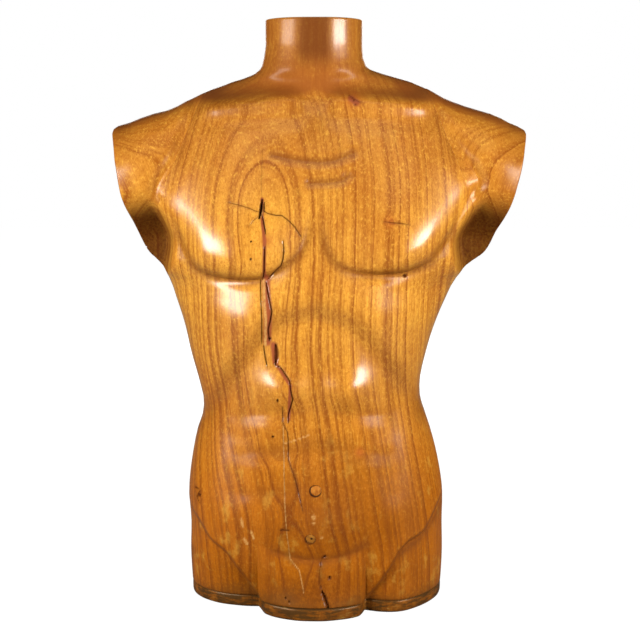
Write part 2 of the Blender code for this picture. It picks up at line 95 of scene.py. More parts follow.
# depth of the centre line, front and back: (height, depth)
FRONT_DEPTH = ((-40, 71), (0, 73), (30, 80), (60, 91), (90, 98), (120, 103), (155, 104),
               (200, 101), (243, 97), (280, 97), (320, 101), (350, 102.5), (375, 101), (400, 100),
               (430, 101), (460, 99), (490, 94), (520, 87), (560, 76), (590, 67), (606, 62),
               (625, 58), (650, 55.5), (690, 56.5))
BACK_DEPTH = ((-40, 96), (0, 99), (30, 105), (60, 107), (100, 100), (140, 85), (180, 73),
              (210, 69), (250, 73), (300, 85), (350, 97), (400, 106), (450, 111), (500, 109),
              (540, 101), (570, 90), (600, 77), (620, 69), (650, 64), (690, 63))
ARM_FRONT, ARM_BACK = 55.0, 60.0

# lines carved in the front: (x, z)
PEC_EDGE = (((-120, 660), (-146, 566), (-164, 528), (-183, 496), (-178, 480), (-166, 462),
             (-160, 452), (-152, 431), (-141, 412), (-124, 401), (-96, 396), (-68, 396),
             (-50, 402), (-35, 411), (-20, 424), (-11, 440), (-6, 470), (-4, 560), (-4, 720)),
            ((110, 660), (144, 566), (162, 540), (187, 508), (178, 492), (171, 480), (155, 448),
             (138, 425), (127, 414), (105, 405), (83, 402), (55, 403), (32, 409), (18, 420),
             (10, 438), (6, 470), (4, 560), (4, 720)))
SHOULDER_GROOVE = (((-140, 592), (-147, 566), (-160, 528), (-181, 490)),
                   ((138, 580), (158, 543), (180, 510), (190, 470)))
CLAVICLE = (((-16, 598), (-45, 597), (-80, 594), (-143, 591)),
            ((12, 598), (45, 597), (75, 595), (136, 592)))
STERNAL_CREASES = (((-48, 536), (-18, 530), (16, 529), (42, 538)),
                   ((-7, 505), (26, 507), (36, 513)))
RIB_ARCH = (((-128, 236), (-108, 268), (-90, 298), (-68, 328), (-40, 353), (0, 362)),
            ((124, 232), (106, 264), (86, 296), (64, 326), (38, 351), (0, 362)))
GROIN = (((-165, 125), (-140, 106), (-125, 87), (-106, 74), (-93, 55), (-84, 42), (-73, 23),
          (-62, 5), (-50, -25)),
         ((165, 140), (146, 123), (128, 97), (109, 88), (98, 77), (89, 61), (82, 50), (75, 39),
          (64, 23), (52, 2), (44, -25)))
# inner edge of the hollow under each arm stump: (height, half width left, half width right)
ARMPIT_EDGE = ((380, 186, 180), (392, 178, 172), (412, 169, 163), (436, 165, 160),
               (458, 171, 170), (486, 186, 188), (500, 196, 198), (520, 214, 216))
# soft swellings and hollows of the front: (x, z, reach in x, reach in z, height)
FRONT_FORMS = ((-205, 515, 30, 48, 6), (208, 520, 30, 48, 6), (0, 607, 24, 16, -4),
               (-37, 270, 31, 22, 10.5), (37, 270, 30, 23, 11), (-46, 225, 36, 15, 3.4),
               (46, 225, 36, 15, 2.6), (-46, 180, 36, 13, 2.8), (44, 180, 34, 13, 1.8),
               (0, 112, 74, 36, 3), (-119, 262, 16, 30, -4), (107, 262, 16, 30, -4),
               (96, 0, 48, 60, 21),
               (-112, 360, 40, 30, 3), (108, 360, 40, 30, 3))
BACK_FORMS = ((-86, 470, 36, 50, 8), (86, 470, 36, 50, 8), (-30, 205, 15, 75, 5),
              (30, 205, 15, 75, 5), (-68, 42, 46, 46, 13), (68, 42, 46, 46, 13),
              (-125, 150, 26, 40, -4), (125, 150, 26, 40, -4), (0, 600, 40, 26, 5),
              (-140, 415, 26, 50, 5), (140, 415, 26, 50, 5))


# ---- shape helpers
def curve(table, at, column=1):
    """Smooth curve through the rows of a table."""
    rows = sorted((row[0], row[column]) for row in table)
    xs, ys = np.array(rows, float).T
    slope = np.gradient(ys, xs)
    at = np.asarray(at, float)
    i = np.clip(np.searchsorted(xs, at) - 1, 0, len(xs) - 2)
    h = xs[i + 1] - xs[i]
    u = np.clip((at - xs[i]) / h, 0.0, 1.0)
    return (ys[i] * (1 + 2 * u) * (1 - u) ** 2 + slope[i] * h * u * (1 - u) ** 2
            + ys[i + 1] * u * u * (3 - 2 * u) + slope[i + 1] * h * u * u * (u - 1))


def ease(low, high, at):
    """0 below low, 1 above high, and a smooth step between them."""
    u = np.clip((np.asarray(at, float) - low) / (high - low), 0.0, 1.0)
    return u * u * (3 - 2 * u)


def near_line(points, x, z):
    """Distance to an open line, and the signed distance (positive on the line's left)."""
    best = np.full(np.shape(x), 1e9)
    side = np.ones(np.shape(x))
    for (ax, az), (bx, bz) in zip(points, points[1:]):
        dx, dz = bx - ax, bz - az
        u = np.clip(((x - ax) * dx + (z - az) * dz) / (dx * dx + dz * dz), 0.0, 1.0)
        gap = np.hypot(x - ax - u * dx, z - az - u * dz)
        turn = np.sign(dx * (z - az) - dz * (x - ax))
        side = np.where(gap < best - 1e-6, turn, side)
        best = np.minimum(best, gap)
    return best, best * side


def outline_points():
    """The outline seen from the front, one side at a time, with the arms carried on outward."""
    sides = []
    for sign, column in ((-1, 1), (1, 2)):
        up = [(sign * float(curve(FLANKS, z, column)), z) for z in
              list(range(-150, 400, 12)) + [403, 409, 414]]
        up += [(sign * 300.0, 384.0)]
        line = [(sign * row[column], float(row[0])) for row in SHOULDER_LINE]
        sides.append((up, line + [(sign * 300.0, 545.0)]))
    return sides


OUTLINE = outline_points()


def edge_distance(x, z):
    """Distance to the outline seen from the front."""
    best = np.full(np.shape(x), 1e9)
    for up, line in OUTLINE:
        for points in (up, line):
            best = np.minimum(best, near_line(points, x, z)[0])
    return best


def rounding(x, z):
    """0 at the outline, 1 where the face has turned fully to the front."""
    side = np.abs(x)
    reach_x = curve(((0, 122), (110, 122), (150, 98), (190, 76), (230, 66), (300, 62)), side)
    reach_x = np.where(z > 400, reach_x, 122.0 - ease(380, 400, z) * (122.0 - reach_x))
    reach_z = curve(((-100, 80), (60, 80), (160, 88), (250, 92), (330, 102), (400, 104),
                     (480, 106), (520, 104), (560, 88), (600, 66), (630, 55), (690, 53)), z)
    t = np.clip(edge_distance(x, z) / np.minimum(reach_x, reach_z), 0.0, 1.0)
    power = 2.3 + 0.7 * ease(380, 420, z) * (1 - ease(500, 550, z))
    return (1.0 - (1.0 - t) ** power) ** (1 / power)


def smooth_line(points, steps=4):
    """Refine an open line into a smooth one through the same points."""
    rows = np.array(points, float)
    rows = np.vstack([2 * rows[0] - rows[1], rows, 2 * rows[-1] - rows[-2]])
    made = []
    for a, b, c, d in zip(rows, rows[1:], rows[2:], rows[3:]):
        for u in np.linspace(0, 1, steps, endpoint=False):
            made.append(0.5 * (2 * b + (c - a) * u + (2 * a - 5 * b + 4 * c - d) * u * u
                               + (3 * b - a - 3 * c + d) * u ** 3))
    return [tuple(p) for p in made] + [tuple(rows[-2])]


PEC_LINES, RIB_LINES, GROIN_LINES, GROOVE_LINES, CLAVICLE_LINES, CREASE_LINES = (
    [smooth_line(line) for line in group] for group in
    (PEC_EDGE, RIB_ARCH, GROIN, SHOULDER_GROOVE, CLAVICLE, STERNAL_CREASES))


def forms(table, x, z):
    """Sum of the soft swellings and hollows in a table."""
    total = np.zeros(np.shape(x))
    for cx, cz, rx, rz, height in table:
        total = total + height * np.exp(-((x - cx) / rx) ** 2 - ((z - cz) / rz) ** 2)
    return total


def armpit_field(x, z, low=432, high=502):
    """1 in the hollow under each arm stump, 0 away from it."""
    outside = np.abs(x) - np.where(x < 0, curve(ARMPIT_EDGE, z), curve(ARMPIT_EDGE, z, 2))
    return ease(-5, 15, outside) * (1 - ease(low, high, z + 0.2 * (np.abs(x) - 186)))


def front(x, z):
    """Depth of the carved front surface ahead of the middle plane."""
    x, z = np.broadcast_arrays(np.asarray(x, float), np.asarray(z, float))
    arm = ease(115, 215, np.abs(x)) * ease(395, 440, z) * (1 - ease(610, 640, z))
    bow = 0.11 + 0.13 * ease(80, 200, z) * (1 - 0.45 * ease(370, 420, z))
    bow = bow * (1 - 0.5 * ease(540, 600, z))
    centre = curve(FRONT_DEPTH, z) * (1 - bow * np.minimum((x / 150) ** 2, 1.5)
                                      * (1 - ease(600, 640, z)))
    depth = centre * (1 - arm) + ARM_FRONT * arm
    turn = rounding(x, z)
    soft = forms(FRONT_FORMS, x, z)
    for sign, (edge, cx, cz) in zip((1, -1), ((PEC_LINES[0], -94, 417), (PEC_LINES[1], 106, 421))):
        _, inside = near_line(edge, x, z)
        inside = inside * sign
        here = ease(-6, 10, -x * sign)
        reach = np.where(z > cz, 76, 90)
        wide = np.where(np.abs(x) > abs(cx), 84, 54)
        swell = np.exp(-((x - cx) / wide) ** 2 - ((z - cz) / reach) ** 2)
        lip = np.clip(inside / 27, 0, 1)
        lip = np.sqrt(1 - (1 - lip) ** 2) * ease(-3, 5, inside)
        soft = soft + here * (18.5 * swell * lip - 2.2 * ease(16, 60, np.abs(x))
                              * np.exp(-((inside + 3) / 7) ** 2))
    for edge in CREASE_LINES:
        soft = soft - 2.0 * np.exp(-(near_line(edge, x, z)[0] / 5) ** 2)
    collar = ease(2, 34, np.abs(x)) * (1 - ease(112, 150, np.abs(x)))
    for edge in CLAVICLE_LINES:
        gap, above = near_line(edge, x, z)
        above = above * (1 if edge[0][0] > edge[-1][0] else -1) * -1
        reach = np.exp(-(np.maximum(gap - 24, 0) / 12) ** 2)
        soft = soft + collar * (5.0 * np.exp(-(gap / 10) ** 2)
                                - 6.0 * reach * np.exp(-((above - 18) / 12) ** 2)
                                - 2.5 * reach * np.exp(-((above + 21) / 13) ** 2))
    for edge in GROOVE_LINES:
        soft = soft - 4.5 * np.exp(-(near_line(edge, x, z)[0] / 13) ** 2)
    for sign, edge in zip((1, -1), RIB_LINES):
        above = near_line(edge, x, z)[1] * sign
        here = ease(-8, 8, -x * sign) * ease(225, 260, z)
        soft = soft + here * (4.5 * ease(-14, 15, above) * (1 - ease(20, 75, above))
                              - 1.2 * np.exp(-((above + 12) / 10) ** 2))
    middle = ease(150, 180, z) * (1 - ease(345, 370, z))
    soft = soft - 1.4 * np.exp(-(x / 13) ** 2) * middle
    soft = soft - 1.5 * np.exp(-(x / 26) ** 2) * ease(415, 445, z) * (1 - ease(545, 590, z))
    for cx in (-98, 91):
        soft = soft - 1.8 * np.exp(-((x - cx) / 16) ** 2) * ease(120, 150, z) * (
            1 - ease(275, 305, z))
    belly = 1.0
    for sign, edge in zip((1, -1), GROIN_LINES):
        belly = belly * ease(-3, 3.5, near_line(edge, x, z)[1] * sign)
    soft = soft + 7.0 * belly * (1 - ease(95, 240, z))
    across = np.clip(1 - ((x + 5) / 63) ** 2, 0, 1) ** 0.62
    crease = 68.0 + 0.0045 * x * x      # height of the fold above the middle swelling
    soft = soft + 43.0 * across * np.clip(1 - z / crease, 0, 1.2) ** 0.9
    depth = turn * depth + soft * ease(0.0, 0.5, turn)
    return depth * (1 - 0.90 * armpit_field(x, z))


def back(x, z):
    """Depth of the back surface behind the middle plane."""
    x, z = np.broadcast_arrays(np.asarray(x, float), np.asarray(z, float))
    arm = ease(115, 215, np.abs(x)) * ease(395, 440, z) * (1 - ease(610, 640, z))
    centre = curve(BACK_DEPTH, z) * (1 - 0.12 * np.minimum((x / 150) ** 2, 1.5)
                                     * (1 - ease(600, 640, z)))
    depth = centre * (1 - arm) + ARM_BACK * arm
    turn = rounding(x, z)
    soft = forms(BACK_FORMS, x, z)
    soft = soft - 9.0 * np.exp(-(x / 14) ** 2) * ease(95, 150, z) * (1 - ease(520, 600, z))
    soft = soft - 26.0 * np.exp(-(x / 8) ** 2) * (1 - ease(55, 100, z))
    return turn * depth + soft * ease(0.0, 0.5, turn)


def side_end(z, sign):
    """Half width on one side at height z: trunk side, arm cut, then shoulder line."""
    column = 1 if sign < 0 else 2
    line = np.array([(row[0], row[column]) for row in SHOULDER_LINE[::-1]]).T
    above = np.where(z > 560, np.interp(z, *line), 400.0)
    return np.where(z < 568, np.minimum(curve(FLANKS, z, column), above), above)


def plane_end(z):
    """How far out the slanted glue plane of the shoulder stands at height z."""
    at, height, grow = SHOULDER_PLANE
    return at + grow * (height - np.asarray(z, float))


# ---- cracks and marks in the front
# each crack: points (x, z), half width, depth, and how dark it is (0 to 1), the dark being partly
# dirt and partly painted shade in the split
CRACKS = (
    (((-59.9, 486), (-61, 476), (-63, 466)), 1.5, 5.0, 1.0),
    (((-57.6, 483), (-57.6, 473)), 0.8, 2.5, 0.9),
    (((-62, 472), (-74, 477), (-84, 480), (-98, 483.5)), 0.45, 0.8, 0.7),
    (((-63, 469), (-69, 464), (-74, 458)), 0.4, 0.7, 0.6),
    (((-59, 475), (-54, 471.5), (-44, 469), (-38, 469), (-29, 462), (-23, 455.5), (-16.5, 445)),
     0.55, 1.0, 0.75),
    (((-60, 486), (-61, 505), (-60, 541)), 0.35, 0.4, 0.35),
    (((-60, 470), (-57, 456), (-56, 449)), 0.7, 2.0, 0.9),
    (((-57, 434), (-58, 406), (-60, 397)), 0.7, 2.0, 0.85),
    (((-36.7, 441), (-35.6, 431), (-36.8, 420), (-39, 413), (-47, 405), (-54, 397)),
     0.7, 1.4, 0.8),
    (((-62.5, 396), (-62, 374), (-61, 351), (-61.5, 322)), 0.6, 1.4, 0.75),
    (((-56, 393), (-53, 377), (-49.6, 361), (-51, 352), (-54, 340), (-53, 327)), 0.9, 1.8, 0.8),
    (((-59.6, 321), (-57.6, 307), (-55.3, 296)), 0.6, 1.8, 0.85),
    (((-45.5, 322), (-44.5, 311), (-46, 301)), 2.2, 3.0, 0.75),
    (((-48, 300), (-40, 295.5), (-29.7, 281), (-28.6, 271), (-26.4, 259), (-31.6, 240),
      (-31.5, 232)), 0.7, 1.8, 0.9),
    (((-38, 250), (-38, 232), (-32.7, 221), (-31.6, 211), (-31.6, 189), (-24, 168), (-15, 131)),
     0.55, 0.8, 0.8),
    (((-38, 229), (-36.5, 185), (-35.7, 142), (-34.6, 108), (-30, 70), (-20, 57), (-14, 32)),
     0.45, 0.3, 0.35),
    (((-94, 312), (-90, 280), (-86, 247)), 0.35, 0.4, 0.35),
    (((10.4, 73), (7, 70), (4.6, 58), (4.6, 42), (7, 34)), 0.6, 1.5, 0.8),
    (((7, 34), (10.4, 27), (14, 17), (14, 10)), 1.5, 4.0, 1.0),
    (((76, 462.5), (86, 461), (95, 460.5), (104, 459)), 0.5, 0.8, 0.7),
    (((-41, 106.5), (-31, 106.5)), 0.8, 1.6, 0.9),
    (((-143, 143), (-137, 142), (-141, 134), (-138, 128)), 0.6, 1.2, 0.9),
    (((37, 603), (43, 598), (45, 591)), 0.6, 0.8, 0.8),
    (((41, 600), (49, 595), (53, 593)), 0.5, 0.6, 0.75),
)
# pits: x, z, radius, depth
PITS = ((-43.6, 258, 1.4, 2.5), (-49.4, 215, 1.4, 2.5), (-72, 440.6, 1.0, 1.8),
        (-72.4, 421, 1.2, 1.8), (-52.6, 329, 1.9, 2.5), (16, 49, 1.8, 2.8), (-35, 25.4, 1.4, 2.2),
        (-31, 21, 1.2, 2.0), (101, 399.6, 2.2, 1.8), (10.4, 73, 1.8, 2.5), (-138, 137, 2.0, 1.6))
# knots: x, z, radius
KNOTS = ((-55.5, 441.6, 6.5), (83, 462, 6.0), (43, 597, 8.5), (50.6, 197, 5.0))
# dark lines in the fold low on the belly and over the right groin, painted shade with some dirt,
# and in the glue line on the left hip
LOW_CREASES = (((-50, 79), (-24, 71), (8, 67), (36, 76), (58, 89)),
               ((-151, 60), (-154, 42), (-155, 18)),
               ((98, 74), (120, 86), (142, 106), (160, 128)))
# soft hollows between the rows of the belly, also darkened as painted shade
BELLY_BANDS = (((-92, 236), (-60, 240), (-22, 243)), ((26, 243), (60, 240), (88, 236)),
               ((-88, 190), (-50, 196), (-12, 200)), ((14, 200), (50, 196), (84, 190)),
               ((-80, 148), (-46, 150), (-22, 152)))
# bare, pinkish wood where the surface has split away: points and half width
RAW_STRIPS = ((((-59.5, 480), (-60.5, 468)), 1.2),
              (((-58.6, 396), (-58, 374), (-56.5, 351), (-57.5, 322)), 1.7),
              (((-36.5, 207), (-22, 212), (-8, 217)), 0.8),
              (((-37.4, 229), (-36, 142), (-34, 108), (-30, 70), (-19, 57), (-14, 32)), 0.6),
              (((-3.2, 116), (-2.4, 116)), 1.6), (((6.6, 98), (7.2, 97.4)), 1.5),
              (((-86.4, 119), (-84.4, 110)), 1.5), (((-74.6, 104), (-72.2, 95)), 1.4),
              (((-83, 94), (-80, 88)), 1.8), (((-3, 124), (-2, 122)), 2.2),
              (((-215.6, 538.7), (-208.2, 527.4)), 0.6), (((222, 534), (222.4, 529)), 1.2))
# reddish wood beside the split and in the knot over the collarbone: points and half width
RED_STRIPS = ((((-56, 398), (-55, 375), (-54, 352), (-55, 325)), 5.0),
              (((-60, 487), (-60, 468), (-57, 440), (-58, 400)), 2.2),
              (((40, 599), (46, 594)), 4.0), (((-48, 322), (-46, 302)), 4.0),
              (((-44, 298), (-29, 276), (-31, 235)), 2.0))
# where the varnish is rubbed dull: x, z, reach in x, reach in z, how much
WORN = ((108, 150, 66, 62, 0.95), (-84, 145, 64, 52, 0.88), (92, 375, 44, 32, 0.88),
        (64, 224, 44, 26, 0.88), (-70, 222, 44, 26, 0.85), (-78, 186, 40, 20, 0.85),
        (72, 186, 44, 20, 0.85), (176, 492, 20, 44, 0.9), (148, 427, 15, 16, 0.92),
        (-157, 424, 15, 16, 0.92), (-170, 490, 12, 40, 0.6), (0, 40, 220, 60, 0.85),
        (0, 617, 80, 22, 0.98), (-222, 500, 16, 60, 0.7), (220, 480, 20, 60, 0.8),
        (-78, 378, 40, 20, 0.35), (-112, 584, 44, 13, 0.6), (110, 584, 36, 13, 0.4),
        (-38, 668, 24, 44, 0.6))
# darker patches, in the same columns: aged varnish, and painted shade in the hollows between the
# belly rows and towards the outer sides of the arm cuts
AGED_AND_SHADED = ((-46, 640, 26, 56, 0.22), (20, 128, 78, 52, 0.45), (0, 28, 60, 44, 0.9),
        (-108, 590, 50, 13, 0.6), (0, 575, 36, 26, 0.3), (-226, 530, 24, 60, 0.35),
        (226, 520, 26, 60, 0.30), (96, 132, 60, 60, 0.35), (0, 8, 170, 22, 0.5),
        (112, 50, 46, 40, 0.25), (9, 207, 24, 9, 0.4), (55, 186, 30, 9, 0.35),
        (-53, 199, 26, 9, 0.35), (0, 262, 12, 50, 0.2))


def crack_field(x, z):
    """How deep the cracks cut at each point, and how dark, raw and red the wood is there; the dark
    is partly dirt and partly painted shade.
    """
    depth, dark, raw, red = (np.zeros(np.shape(x)) for _ in range(4))
    # painted shade: each split and pit, with a soft halo round the splits, is darkened, partly as
    # dirt
    for points, half_width, deep, black in CRACKS:
        gap = near_line(points, x, z)[0]
        ends = np.array(points)[[0, -1]]
        taper = np.minimum(np.hypot(x - ends[0, 0], z - ends[0, 1]),
                           np.hypot(x - ends[1, 0], z - ends[1, 1]))
        width = half_width * (0.45 + 0.55 * ease(0, 8, taper))
        depth = np.maximum(depth, deep * (1 - ease(0, 1.6, gap / width)))
        dark = np.maximum(dark, black * (1 - ease(0.6, 2.0, gap / width)))
        dark = np.maximum(dark, 0.3 * black * np.exp(-(gap / (width + 2.0)) ** 2))
    for px, pz, radius, deep in PITS:
        gap = np.hypot(x - px, z - pz) / radius
        depth = np.maximum(depth, deep * (1 - ease(0.2, 1.1, gap)))
        dark = np.maximum(dark, 1 - ease(0.7, 1.5, gap))
    for strips, field in ((RAW_STRIPS, raw), (RED_STRIPS, red)):
        for points, half_width in strips:
            gap = near_line(points, x, z)[0] / half_width
            np.maximum(field, 1 - ease(0.5, 1.3, gap), out=field)
    return depth, dark, raw, red


def fine_relief(x, z):
    """Shallow carving that is finer than the solid's facets."""
    relief = np.zeros(np.shape(x))
    for lines, deep, width in ((GROIN_LINES, 1.3, 1.9), (BELLY_BANDS, 1.1, 9.0)):
        for line in lines:
            relief = relief - deep * np.exp(-(near_line(line, x, z)[0] / width) ** 2)
    return relief


def crease_field(x, z):
    """How dark the carved lines are: painted shade under the chest, along the rib arch, the
    shoulder grooves, the sternal creases, the groin and between the belly rows, and dirt in the low
    fold and the glue line.
    """
    field = np.zeros(np.shape(x))
    for group, width, strength in ((PEC_LINES, 6.5, 0.85), (GROIN_LINES, 2.4, 0.95),
                                   (RIB_LINES, 12.0, 0.48), (CREASE_LINES, 5.0, 0.8),
                                   (GROOVE_LINES, 9.0, 0.3), (LOW_CREASES, 5.5, 0.85),
                                   (BELLY_BANDS, 9.0, 0.32)):
        here = ease(480, 430, z) if group is PEC_LINES else 1.0
        for line in group:
            field = np.maximum(field, here * strength * np.exp(
                -(near_line(line, x, z)[0] / width) ** 2))
    return field


def knot_field(x, z):
    """1 in the middle of a knot, fading out over its radius."""
    field = np.zeros(np.shape(x))
    for kx, kz, radius in KNOTS:
        field = np.maximum(field, np.exp(-((x - kx) ** 2 + (z - kz) ** 2) / radius ** 2))
    return field


def patches(table, x, z, power):
    """1 inside the patches of a table, 0 outside; a higher power gives a harder edge."""
    rest = np.ones(np.shape(x))
    for px, pz, rx, rz, amount in table:
        rest = rest * (1 - amount * np.exp(-np.abs((x - px) / rx) ** power
                                           - np.abs((z - pz) / rz) ** power))
    return 1 - rest


def tool_marks(x, z, sign):
    """The gentle unevenness a gouge and scraper leave, different in front and behind."""
    shift = 0.4 if sign < 0 else 2.1
    a = np.sin(x / 9.1 + 1.7 * np.sin(z / 31.0 + shift)) * np.sin(z / 17.3 + shift)
    b = np.sin(x / 21.0 - z / 13.7 + 2 * shift) + np.sin(x / 14.9 + z / 27.1 + shift)
    return 0.16 * a + 0.14 * b


# ---- mesh helpers
SHARP_EDGE = math.radians(38)      # edges that bend more than this stay crisp
PLUG_SHARP = math.radians(40)      # the same, on the plugs
ROUND_STEPS = 48                   # facets round a turned shape


def add_object(name, mesh, sharp=SHARP_EDGE):
    """Put a mesh in the scene, shaded smooth between its sharp edges."""
    mesh.shade_smooth()
    mesh.set_sharp_from_angle(angle=sharp)
    ob = bpy.data.objects.new(name, mesh)
    bpy.context.scene.collection.objects.link(ob)
    return ob


def to_mesh(name, bm):
    """Turn a bmesh into a mesh, and free it."""
    mesh = bpy.data.meshes.new(name)
    bm.to_mesh(mesh)
    bm.free()
    return mesh


def grid_solid(name, x, y, z, masks=None):
    """Closed solid from rings (rows) of equal length.  masks become point attributes."""
    rows, count = x.shape
    index = np.arange(rows * count).reshape(rows, count)
    low, high = index[:-1], index[1:]
    quads = np.stack([low, np.roll(low, -1, 1), np.roll(high, -1, 1), high], -1).reshape(-1, 4)
    faces = quads.tolist() + [index[0, ::-1].tolist(), index[-1].tolist()]
    mesh = bpy.data.meshes.new(name)
    mesh.from_pydata((np.stack([x, y, z], -1).reshape(-1, 3) * MM).tolist(), [], faces)
    mesh.update()
    ob = add_object(name, mesh)
    bm = bmesh.new()
    bm.from_mesh(mesh)
    bmesh.ops.recalc_face_normals(bm, faces=bm.faces[:])
    bm.to_mesh(mesh)
    bm.free()
    for label, values in (masks or {}).items():
        layer = mesh.attributes.new(label, "FLOAT", "POINT")
        layer.data.foreach_set("value", np.asarray(values, np.float32).reshape(-1))
    return ob


def turned(outline):
    """Spin (radius, height) points about the upright axis into a closed round solid."""
    bm = bmesh.new()
    verts = [bm.verts.new((r * MM, 0, h * MM)) for r, h in outline]
    edges = [bm.edges.new(pair) for pair in zip(verts, verts[1:])]
    bmesh.ops.spin(bm, geom=verts + edges, cent=(0, 0, 0), axis=(0, 0, 1), angle=2 * math.pi,
                   steps=ROUND_STEPS)
    bmesh.ops.remove_doubles(bm, verts=bm.verts[:], dist=1e-6)
    bmesh.ops.recalc_face_normals(bm, faces=bm.faces[:])
    return bm


def stand_on(bm, face, out):
    """Move an upright shape to a point (mm), with its axis pointing out of the surface."""
    turn = Vector((0, 0, 1)).rotation_difference(out).to_matrix().to_4x4()
    bmesh.ops.transform(bm, matrix=Matrix.Translation(face * MM) @ turn, verts=bm.verts)


def carve(ob, bm):
    """Take the closed shape in bm away from an object."""
    tool = bpy.data.objects.new("bore", to_mesh("bore", bm))
    bpy.context.scene.collection.objects.link(tool)
    mod = ob.modifiers.new("bore", "BOOLEAN")
    mod.solver = "EXACT"
    mod.operation = "DIFFERENCE"
    mod.object = tool
    bpy.context.view_layer.update()
    done = bpy.data.meshes.new_from_object(ob.evaluated_get(
        bpy.context.evaluated_depsgraph_get()))
    ob.modifiers.clear()
    ob.data = done
    bpy.data.objects.remove(tool)


def cad_reach(axis, side):
    """How far the CAD model reaches from the middle along an axis, in mm."""
    return CAD_BOX[0 if side < 0 else 1][axis] * side / MM


# ---- carved halves
SEAM = 0.03                # half the glue line between two carved pieces
THIN = 0.35                # least thickness left at an edge
DARK_PIT = (462, 492)      # heights between which the armpit darkening, stain and painted shade, fades out
FIXED = 110.0              # mesh columns stand upright within this half width
SPLIT = (-76, -13)         # the columns are finest between these, round the long split


def spaced(*stretches):
    """Levels from (start, stop, step) stretches."""
    parts = [np.arange(a, b, step) for a, b, step in stretches]
    return np.concatenate(parts + [[stretches[-1][1]]])


def body_rows(fine):
    """Heights of the mesh rows, and how far the rounded ends are set in there."""
    foot = BASE_THICK + GAP
    z = spaced((17.5, 380, 1.9 * fine), (380, 440, 1.2 * fine), (440, 490, 0.5 * fine),
               (490, 560, 1.7 * fine), (560, 640, 0.85 * fine), (640, HEIGHT - 1.8, 2.5 * fine))
    z = np.concatenate([[foot, BASE_THICK + 0.8], z, [HEIGHT - 1.0, HEIGHT - 0.4, HEIGHT]])
    inset = np.interp(z, (foot, BASE_THICK + 0.8, 17.5, HEIGHT - 1.8, HEIGHT - 1.0,
                          HEIGHT - 0.4, HEIGHT), (1.0, 0.35, 0, 0, 0.2, 0.6, 1.4))
    return z, inset


def body_columns(left, right, fine, detail):
    """Places of the mesh columns, between the left and right ends of each row."""
    if detail:
        middle = spaced((-FIXED, SPLIT[0], 1.7), (*SPLIT, 0.62), (SPLIT[1], FIXED, 1.7))
    else:
        middle = np.linspace(-FIXED, FIXED, int(130 / fine))
    squeeze = np.minimum(1.0, (np.minimum(-left, right) - 22) / FIXED)
    turn = 1 - np.cos(np.linspace(0, math.pi / 2, int(46 / fine), endpoint=False))
    inner = middle[None, :] * squeeze
    return np.concatenate([left + (inner[:, :1] - left) * turn, inner,
                           (right + (inner[:, -1:] - right) * turn)[:, ::-1]], 1)


def body_half(name, depth_of, sign, fine, detail=False):
    """The carved front (sign -1) or back (sign 1), closed by its flat glue face."""
    z, inset = body_rows(fine)
    ends = []
    for side in (-1, 1):
        end = side_end(z, side)
        end = np.where(z > ARM_LOW, np.minimum(end, plane_end(z) - SEAM), end)
        ends.append(side * (end - inset))
    left, right = (end[:, None] for end in ends)
    x = body_columns(left, right, fine, detail)
    level = np.repeat(z[:, None], x.shape[1], 1)
    depth = depth_of(x, level)
    flat = ease(2, 30, depth)
    depth = depth + tool_marks(x, level, sign) * flat
    masks = {}
    if detail:
        cracked, dark, raw, red = crack_field(x, level)
        depth = depth - cracked * flat + fine_relief(x, level) * flat
        worn = np.maximum(patches(WORN, x, level, 4), np.maximum(ease(0.1, 0.5, dark), raw))
        masks = {"dark": dark, "raw": raw, "red": red, "knot": knot_field(x, level),
                 "crease": crease_field(x, level), "worn": worn,
                 "aged_and_shade": patches(AGED_AND_SHADED, x, level, 2), "pit": armpit_field(x, level, *DARK_PIT)}
    depth = depth * min(1.0, cad_reach(1, sign) / depth.max())
    depth = np.maximum(depth - inset[:, None] * ease(0, 10, depth), THIN)
    x = np.concatenate([x, right - 0.1, left + 0.1], 1)
    y = sign * np.concatenate([depth, np.full((len(z), 2), SEAM)], 1)
    level = np.repeat(z[:, None], x.shape[1], 1)
    for label, values in masks.items():
        masks[label] = np.concatenate([values, np.zeros((len(z), 2))], 1)
    return grid_solid(name, x, y, level, masks)


# ---- shoulder blocks
RIM = 2.0         # worn rounding of the arm cut's edge


def shoulder(name, side, fine):
    """Arm-stump block, from the slanted glue plane out to the flat arm cut."""
    low, top = (ends[0 if side < 0 else 1] for ends in (SHOULDER_LOW, SHOULDER_TOP))
    z = spaced((low, 555, 1.9 * fine), (555, top, 0.8 * fine))
    inner = plane_end(z)[:, None] + SEAM
    outer = np.minimum(side_end(z, side), cad_reach(0, side))
    outer = np.maximum(outer[:, None], inner + 0.6)
    u = np.linspace(0, 1, int(58 / fine))[None, :]
    u = 0.5 * u + 0.5 * np.sin(u * math.pi / 2)
    x = inner + (outer - inner) * u
    level = np.repeat(z[:, None], x.shape[1], 1)
    near = np.clip(RIM - (outer - x), 0, RIM)
    worn = RIM - np.sqrt(RIM ** 2 - near ** 2)
    depths = []
    for depth_of, sign in ((front, -1), (back, 1)):
        depth = depth_of(side * x, level)
        depth = depth + tool_marks(side * x, level, sign) * ease(2, 30, depth)
        depths.append(sign * np.maximum(depth - worn * ease(4, 20, depth), THIN))
    pit = np.concatenate([armpit_field(side * x, level, *DARK_PIT), np.zeros(x.shape)], 1)
    x = np.concatenate([x, x[:, ::-1]], 1) * side
    y = np.concatenate([depths[0], depths[1][:, ::-1]], 1)
    return grid_solid(name, x, y, np.repeat(z[:, None], x.shape[1], 1), {"pit": pit})


# ---- base board
BOARD_LEVEL = 8.0          # height at which the board's outline is taken
SCREW_ROOM = 0.5           # gap round a screw
SEAT = (1.7, 4.8)          # heights between which a screw hole narrows to the shank
# worn edges of the board: height, and how far it is set in there
BOARD_EDGE = ((0, 2.6), (0.5, 1.3), (1.4, 0.5), (3.0, 0.1), (6.0, 0.0), (9.0, 0.0), (12.5, 0.1),
              (13.9, 0.5), (BASE_THICK - GAP, 1.3))


